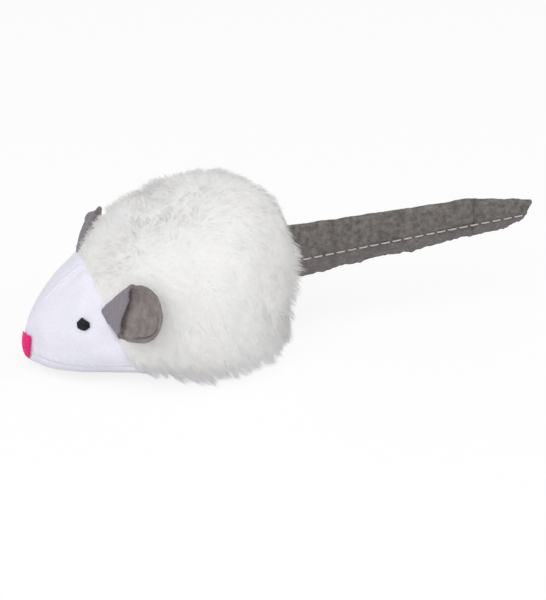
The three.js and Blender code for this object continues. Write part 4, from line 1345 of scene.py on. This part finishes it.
def tail_line(x, columns):
    """Middle line of the cloth across the strip at x: up the left layer, over the fold and down the right."""
    middle, height = (float(value) for value in strip_at(x))
    low, high = middle - height / 2, middle + height / 2
    row = low + STITCH_ROW_SHARE * height
    opened = min(max((RUMP_X + TAIL_REACH - TAIL_TIP_SLANT - x) / TAIL_TIP_CLOSING, 0), 1)
    radius = TAIL_CLOTH / 2 + TAIL_LEAST_GAP + (TAIL_HALF - TAIL_CLOTH - TAIL_LEAST_GAP) * opened
    face = np.linspace(low, high - TAIL_HALF, TAIL_FACE_STEPS)
    arc = np.linspace(0, math.pi, TAIL_ARC_STEPS)[1:-1]
    fullness = TAIL_FULLNESS * opened * np.sin(math.pi * ramp(face, row, high - TAIL_HALF))
    gap = radius + fullness - (TAIL_PINCH + roll(face - row, TAIL_STITCH_PULL)) * opened
    over = np.stack([-radius * np.cos(arc), high - TAIL_HALF + radius * np.sin(arc)], -1)
    left = np.stack([-gap, face], -1)
    line = np.concatenate([left, over, left[::-1] * [-1, 1]])
    line = np.concatenate([np.full((len(line), 1), x), line], axis=1)
    return resampled(line, np.linspace(0, 1, columns))


def tail_sheets(from_x, to_x, cut_tip, columns=TAIL_COLUMNS):
    """Outer and inner grid of the folded cloth between two distances along X."""
    count = int((to_x - from_x) / TAIL_ROW_PITCH)
    grid = np.array([tail_line(x, columns) for x in np.linspace(from_x, to_x, count)])
    middle, height = strip_at(grid[..., 0])
    depth = (middle + height / 2 - grid[..., 2]) / height
    sides = np.where(np.arange(columns) < columns / 2, -1.0, 1.0) * np.ones(grid.shape[:2])
    along = np.stack([grid[..., 0], sides * TAIL_SIDE_SHIFT, 0 * sides], -1)
    edge_start, edge_depth = TAIL_EDGE_SHARES
    near_edge = np.clip((depth - edge_start) / edge_depth, 0, 1)
    grid[..., 2] += near_edge * (relief(along, TAIL_EDGE_FRAY) + relief(along, TAIL_EDGE_DIPS))
    curl, curl_width, curl_seed = TAIL_EDGE_CURL
    lengthwise = along * [1, 0, 0]
    grid[..., 1] += near_edge * curl * waves(lengthwise, curl_width, curl_seed)
    grid[..., 2] += relief(lengthwise, TAIL_RISE_AND_FALL) * (1 - near_edge)
    grid[..., 1] += relief(lengthwise, TAIL_SWAY) * smooth(grid[..., 0], *TAIL_SWAY_FADE)
    crease, crease_width = TAIL_CREASE
    creased = bump(grid[..., 0] - RUMP_X - TAIL_CREASE_REACH, crease_width)
    grid[..., 1] -= crease * sides * creased * smooth(depth, *TAIL_CREASE_FADE)
    if cut_tip:
        share = np.clip((grid[..., 0] - (to_x - TAIL_TIP_CUT_LENGTH)) / TAIL_TIP_CUT_LENGTH, 0, 1)
        cut = TAIL_TIP_SLANT * np.clip(depth, 0, 1) + relief(grid * [0, 1, 1], TAIL_TIP_FRAY)
        grid[..., 0] -= cut * share
    normal = -normals_of(grid)
    row = bump(depth - 1 + STITCH_ROW_SHARE, STITCH_ROW_WIDTH / height)
    half = TAIL_CLOTH / 2 * (1 - STITCH_ROW_SINK_SHARE * row) + relief(grid, TAIL_NAP)
    half = half + relief(grid, TAIL_SWELL)
    return grid + normal * half[..., None], grid - normal * half[..., None]


def tail_shades(grid):
    """Where the cloth below the stitch row shows its other nap, and painted shade where it is creased and
    along the stitch row.
    """
    middle, height = strip_at(grid[..., 0])
    below = (middle + (STITCH_ROW_SHARE - 0.5) * height - grid[..., 2]) / STRIP_FADE
    reach = grid[..., 0] - RUMP_X
    # Painted shade: darker in the sharp crease, the soft fold and along the stitch row
    crease_shade = roll(reach - TAIL_CREASE_REACH + relief(grid, TAIL_CREASE_SHADE_DRIFT), TAIL_CREASE_SHADE)
    crease_shade += roll(reach - TAIL_SOFT_FOLD_REACH + relief(grid, SOFT_FOLD_SHADE_DRIFT), SOFT_FOLD_SHADE)
    crease_shade += roll(below * STRIP_FADE, STITCH_ROW_SHADE)
    strip = STRIP_TINT_SHARE * np.clip(below + 0.5, 0, 1)
    shades = {"strip": strip, "crease": np.clip(crease_shade, 0, 1)}
    return {key: np.stack([value, value]) for key, value in shades.items()}


def stitch_tubes(xs, side):
    """Dashes of the topstitch on one face of the tail."""
    tubes = []
    for x in xs:
        s = np.linspace(0, 1, STITCH_STEPS)
        along = x - STITCH_OVERLAP + (STITCH_LENGTH + 2 * STITCH_OVERLAP) * s
        middle, height = strip_at(along)
        row = middle + (STITCH_ROW_SHARE - 0.5) * height
        rise = np.sqrt(np.clip(1 - np.abs(2 * s - 1) ** 5, 0, 1))
        out = TAIL_HALF * STITCH_FOOT_SHARE - STITCH_SINK + STITCH_RISE * rise
        tubes.append(thread_tube(np.stack([along, side * out, row], -1), STITCH_RADIUS, STITCH_TURNS))
    return tubes


def tail():
    """Folded velour strip in stretches that meet end to end, with its topstitch."""
    pivots = {name: RUMP_X + reach for name, reach in TAIL_PIVOT_REACHES.items()}
    root_end = pivots["front"] - TAIL_BARE_ROOT
    ends = {"root": (TAIL_START, root_end), "front": (root_end, TAIL_FRONT_END),
            "rear": (TAIL_FRONT_END, TAIL_REAR_END), "tip": (TAIL_REAR_END, RUMP_X + TAIL_REACH)}
    pitch = STITCH_LENGTH + STITCH_SPACING
    last = RUMP_X + TAIL_REACH - TAIL_TIP_SLANT - STITCH_LENGTH
    stitches = np.arange(pivots["front"] - TAIL_FIRST_STITCH, last, pitch)
    pale = pale_thread()
    for name, (from_x, to_x) in ends.items():
        outer, inner = tail_sheets(from_x, to_x, name == "tip")
        strip = sheet_piece(f"tail_{name}_velour", outer, inner, tail_shades(outer))
        dressed(strip, tail_velour(), [f"tail_{name}"])
        pieces = []
        if name != "root":
            middles = stitches + STITCH_LENGTH / 2
            own = stitches[(middles >= from_x) & (middles < to_x)]
            seam = tubes_piece(f"tail_{name}_topstitch", stitch_tubes(own, -1) + stitch_tubes(own, 1))
            dressed(seam, pale, [f"tail_topstitch_{name}"])
            pieces.append(seam)
        if name == "root":
            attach(strip, "tail_root")
            continue
        for piece in [strip, *pieces]:
            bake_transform(piece)


# Inside

def lumpy_copy(name, node, cell, depth, lump, seed):
    """Closed piece of a node's form, made of cells of one size and drawn in here and there."""
    piece = linked(name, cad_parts[node].data.copy())
    fine = piece.modifiers.new("fine", "REMESH")
    fine.mode = "VOXEL"
    fine.voxel_size = cell * MM
    fine.use_smooth_shade = True
    ready = piece.evaluated_get(bpy.context.evaluated_depsgraph_get())
    mesh = bpy.data.meshes.new_from_object(ready)
    piece.modifiers.clear()
    piece.data = mesh
    mesh.materials.clear()
    points, normals = np.empty((2, len(mesh.vertices), 3), np.float32)
    mesh.vertices.foreach_get("co", points.ravel())
    mesh.vertex_normals.foreach_get("vector", normals.ravel())
    drawn_in = depth * MM * np.clip(0.5 + 0.5 * waves(points / MM, lump, seed), 0, 1)
    mesh.vertices.foreach_set("co", (points - normals * drawn_in[:, None]).astype(np.float32).ravel())
    mesh.update()
    return piece


def filling():
    """Two lumpy wads of polyester fibre that meet round the pouch."""
    fibre = cloth_material("polyester_fibre_fill", ("#efeee9", "#faf9f6"), mottle=4, grain=0.6,
                           grain_depth=0.2)
    for name, seed in (("front", 91), ("rear", 92)):
        piece = lumpy_copy(f"{name}_fibre_wad", f"{name}_filling", WAD_CELL, WAD_LUMP_DEPTH, WAD_LUMP, seed)
        dressed(piece, fibre, [f"{name}_filling"])
        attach(piece, "toy")


def pouch():
    """Pouch of pressed non-woven cloth, crumpled round the leaf."""
    piece = lumpy_copy("catnip_pouch_bag", "catnip_pouch", POUCH_CELL, POUCH_CRUMPLE_DEPTH, POUCH_CRUMPLE, 93)
    cloth = cloth_material("non_woven_pressed", ("#e4e2d6", "#f0eee4"), mottle=2, grain=0.5, grain_depth=0.05)
    dressed(piece, cloth, ["catnip_pouch"])
    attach(piece, "toy")


def crumbs():
    """Crumbled catnip leaf: thin flakes of uneven size, packed in the pouch."""
    rng = np.random.default_rng(94)
    low, high = (np.array(corner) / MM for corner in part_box("dried_catnip"))
    places = unit(rng.normal(size=(CRUMBS, 3))) * rng.random((CRUMBS, 1)) ** (1 / 3)
    places = (low + high) / 2 + places * ((high - low) / 2 - CRUMB_SIZE)
    corners = np.concatenate([np.eye(3), -np.eye(3)])
    faces = np.array([[0, 1, 2], [1, 3, 2], [3, 4, 2], [4, 0, 2], [1, 0, 5], [3, 1, 5], [4, 3, 5], [0, 4, 5]])
    sizes = CRUMB_SIZE * rng.uniform(*CRUMB_SPREAD_SHARES, (CRUMBS, 1, 3)) * CRUMB_SIDE_SHARES
    turns, _ = np.linalg.qr(rng.normal(size=(CRUMBS, 3, 3)))
    turns[np.linalg.det(turns) < 0, :, 0] *= -1
    points = places[:, None] + (corners * sizes) @ turns.transpose(0, 2, 1)
    triangles = faces[None] + len(corners) * np.arange(CRUMBS)[:, None, None]
    piece = mesh_piece("dried_catnip_crumbs", points.reshape(-1, 3), [], triangles)
    leaf = cloth_material("catnip_dried_crumbs", ("#5f6a3c", "#8f9766"), mottle=1, grain=0.5, grain_depth=0.3)
    dressed(piece, leaf, ["dried_catnip"])
    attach(piece, "toy")


def seam_threads():
    """Sewing threads inside the neck and ridge seams."""
    for name in ("neck", "ridge"):
        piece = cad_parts[f"{name}_seam_thread"]
        piece.data.materials.clear()
        piece.data.materials.append(pale_thread())


# Stage

VIEW_AZIMUTH = math.radians(-15.04)
VIEW_ELEVATION = math.radians(27.1)
VIEW_DISTANCE = 700.0
VIEW_TARGET = (27.52, 0.0, 9.83)
VIEW_LENS = 192.25
SENSOR_WIDTH = 36.0
FLOOR_GAP = 0.05
FLOOR_TONES = (0.85, 1.0)  # in light thrown on to the toy, and as the camera sees it
FLOOR_GLOW_SHARE = 0.8


def view_way(azimuth, elevation):
    """Unit vector from the toy towards a viewer."""
    level = math.cos(elevation)
    return Vector((math.sin(azimuth) * level, -math.cos(azimuth) * level, math.sin(elevation)))


def camera():
    """Camera at the photograph's angle and framing."""
    data = bpy.data.cameras.new("camera")
    data.lens = VIEW_LENS
    data.sensor_fit = "HORIZONTAL"
    data.sensor_width = SENSOR_WIDTH
    data.clip_start = 0.01
    data.clip_end = 10
    made = linked("camera", data)
    back = view_way(VIEW_AZIMUTH, VIEW_ELEVATION)
    made.location = (Vector(VIEW_TARGET) + back * VIEW_DISTANCE) * MM
    made.rotation_euler = back.to_track_quat("Z", "Y").to_euler()
    bpy.context.scene.camera = made


def lamp(name, azimuth, elevation, distance, size, share):
    """Square soft lamp, placed and sized in metres, that lights to a share of a written colour."""
    data = bpy.data.lights.new(name, "AREA")
    data.shape = "SQUARE"
    data.size = size
    data.energy = share * math.pi ** 2 * distance ** 2
    made = linked(name, data)
    way = view_way(math.radians(azimuth), math.radians(elevation))
    made.location = way * distance
    made.rotation_euler = way.to_track_quat("Z", "Y").to_euler()


def seen_directly(tree):
    """Number that is 1 for camera, glossy and transmission rays and 0 for the rest."""
    path = add(tree, "ShaderNodeLightPath")
    seen = path.outputs["Is Camera Ray"]
    for name in ("Is Glossy Ray", "Is Transmission Ray"):
        seen = add(tree, "ShaderNodeMath", {0: seen, 1: path.outputs[name]}, operation="MAXIMUM").outputs[0]
    return seen


def floor_material():
    """Matt white paper: bright to the viewer, and still darker where the toy shades it."""
    made = bpy.data.materials.new("paper_sweep_matt_white")
    tree = empty_tree(made)
    seen = seen_directly(tree)
    tone = ranged(tree, seen, wanted=FLOOR_TONES)
    paper = add(tree, "ShaderNodeBsdfDiffuse", {"Color": tone})
    glow = add(tree, "ShaderNodeEmission", {"Color": (1, 1, 1, 1), "Strength": 1.0})
    share = add(tree, "ShaderNodeMath", {0: seen, 1: FLOOR_GLOW_SHARE}, operation="MULTIPLY")
    mix = add(tree, "ShaderNodeMixShader", {0: share.outputs[0], 1: paper.outputs[0], 2: glow.outputs[0]})
    add(tree, "ShaderNodeOutputMaterial", {0: mix.outputs[0]})
    return made


def stage(context):
    """Pale floor, soft lamps, even sky and camera."""
    settings = context.scene.catnip_mouse_stage
    size = settings.floor_size / MM
    corners = np.array([[-1, -1, 0], [1, -1, 0], [1, 1, 0], [-1, 1, 0]], float) * size / 2
    floor = mesh_piece("floor", corners - [0, 0, FLOOR_GAP], [[0, 1, 2, 3]])
    floor.data.materials.append(floor_material())
    lamp("soft_key", azimuth=-32, elevation=52, distance=0.8, size=0.7, share=settings.key_share)
    lamp("soft_fill", azimuth=60, elevation=35, distance=0.9, size=0.8, share=settings.fill_share)
    world = bpy.data.worlds.new("even_sky")
    bpy.context.scene.world = world
    tree = empty_tree(world)
    level = ranged(tree, seen_directly(tree), wanted=(settings.sky_share, 1.0))
    sky = add(tree, "ShaderNodeBackground", {"Color": (1, 1, 1, 1), "Strength": level})
    add(tree, "ShaderNodeOutputWorld", {0: sky.outputs[0]})
    context.scene.view_settings.view_transform = "Standard"
    camera()


# Add-on

class CatnipMouseFur(bpy.types.PropertyGroup):
    """Sizes and counts of the long pile."""

    strands: bpy.props.IntProperty(
        name="Strands", description="How many strands the body carries", default=24000, min=100)
    pieces_per_side: bpy.props.IntProperty(
        name="Pieces per side", description="How many objects hold one side's strands", default=4, min=1)
    strand_length: bpy.props.FloatProperty(
        name="Strand length", description="Length of the pile high on the back", default=4.6 * MM,
        unit="LENGTH")
    strand_radius: bpy.props.FloatProperty(
        name="Strand radius", description="Radius of a strand at its root", default=0.06 * MM,
        unit="LENGTH")
    root_depth: bpy.props.FloatProperty(
        name="Root depth", description="Depth of the roots below the mean fur surface", default=1.2 * MM,
        unit="LENGTH")


class CatnipMouseStage(bpy.types.PropertyGroup):
    """Light and floor."""

    floor_size: bpy.props.FloatProperty(
        name="Floor size", description="Width of the square floor", default=6.0, unit="LENGTH")
    key_share: bpy.props.FloatProperty(
        name="Key", description="Share of a written colour that the key lamp gives", default=0.47)
    fill_share: bpy.props.FloatProperty(
        name="Fill", description="Share of a written colour that the fill lamp gives", default=0.15)
    sky_share: bpy.props.FloatProperty(
        name="Sky", description="Share of a written colour that the even sky gives", default=0.59)


class MOUSE_OT_head(bpy.types.Operator):
    """Builds the velboa head panels and the underside panel"""

    bl_idname = "catnip_mouse.head"
    bl_label = "Head and underside"

    def execute(self, context):
        head_panels()
        underside_panel()
        return {"FINISHED"}


class MOUSE_OT_body(bpy.types.Operator):
    """Builds the plush panels and their long pile"""

    bl_idname = "catnip_mouse.body"
    bl_label = "Plush body"

    def execute(self, context):
        backing_panels()
        fur(context)
        return {"FINISHED"}


class MOUSE_OT_face(bpy.types.Operator):
    """Builds the embroidered nose and eyes"""

    bl_idname = "catnip_mouse.face"
    bl_label = "Nose and eyes"

    def execute(self, context):
        nose()
        eyes()
        return {"FINISHED"}


class MOUSE_OT_ears(bpy.types.Operator):
    """Builds the folded velour ears"""

    bl_idname = "catnip_mouse.ears"
    bl_label = "Ears"

    def execute(self, context):
        ears()
        return {"FINISHED"}


class MOUSE_OT_tail(bpy.types.Operator):
    """Builds the folded velour tail and its topstitch"""

    bl_idname = "catnip_mouse.tail"
    bl_label = "Tail"

    def execute(self, context):
        tail()
        return {"FINISHED"}


class MOUSE_OT_inside(bpy.types.Operator):
    """Finishes the filling, the catnip pouch and the hidden threads"""

    bl_idname = "catnip_mouse.inside"
    bl_label = "Filling and pouch"

    def execute(self, context):
        filling()
        pouch()
        crumbs()
        seam_threads()
        return {"FINISHED"}


class MOUSE_OT_stage(bpy.types.Operator):
    """Builds the floor, the lamps and the camera"""

    bl_idname = "catnip_mouse.stage"
    bl_label = "Stage"

    def execute(self, context):
        stage(context)
        return {"FINISHED"}


OPERATORS = (MOUSE_OT_head, MOUSE_OT_body, MOUSE_OT_face, MOUSE_OT_ears, MOUSE_OT_tail, MOUSE_OT_inside,
             MOUSE_OT_stage)


class MOUSE_PT_panel(bpy.types.Panel):
    """Lists the mouse's builders"""

    bl_label = "Catnip mouse"
    bl_idname = "MOUSE_PT_panel"
    bl_space_type = "VIEW_3D"
    bl_region_type = "UI"
    bl_category = "Catnip mouse"

    def draw(self, context):
        for settings in (context.scene.catnip_mouse_fur, context.scene.catnip_mouse_stage):
            for name in settings.__annotations__:
                self.layout.prop(settings, name)
        for operator in OPERATORS:
            self.layout.operator(operator.bl_idname)


CLASSES = (CatnipMouseFur, CatnipMouseStage, *OPERATORS, MOUSE_PT_panel)


def register():
    for one in CLASSES:
        bpy.utils.register_class(one)
    bpy.types.Scene.catnip_mouse_fur = bpy.props.PointerProperty(type=CatnipMouseFur)
    bpy.types.Scene.catnip_mouse_stage = bpy.props.PointerProperty(type=CatnipMouseStage)


def unregister():
    del bpy.types.Scene.catnip_mouse_stage
    del bpy.types.Scene.catnip_mouse_fur
    for one in reversed(CLASSES):
        bpy.utils.unregister_class(one)


def main():
    """Builds everything in order."""
    register()
    bpy.ops.catnip_mouse.head()
    bpy.ops.catnip_mouse.body()
    bpy.ops.catnip_mouse.face()
    bpy.ops.catnip_mouse.ears()
    bpy.ops.catnip_mouse.tail()
    bpy.ops.catnip_mouse.inside()
    bpy.ops.catnip_mouse.stage()


if __name__ == "__main__":
    main()
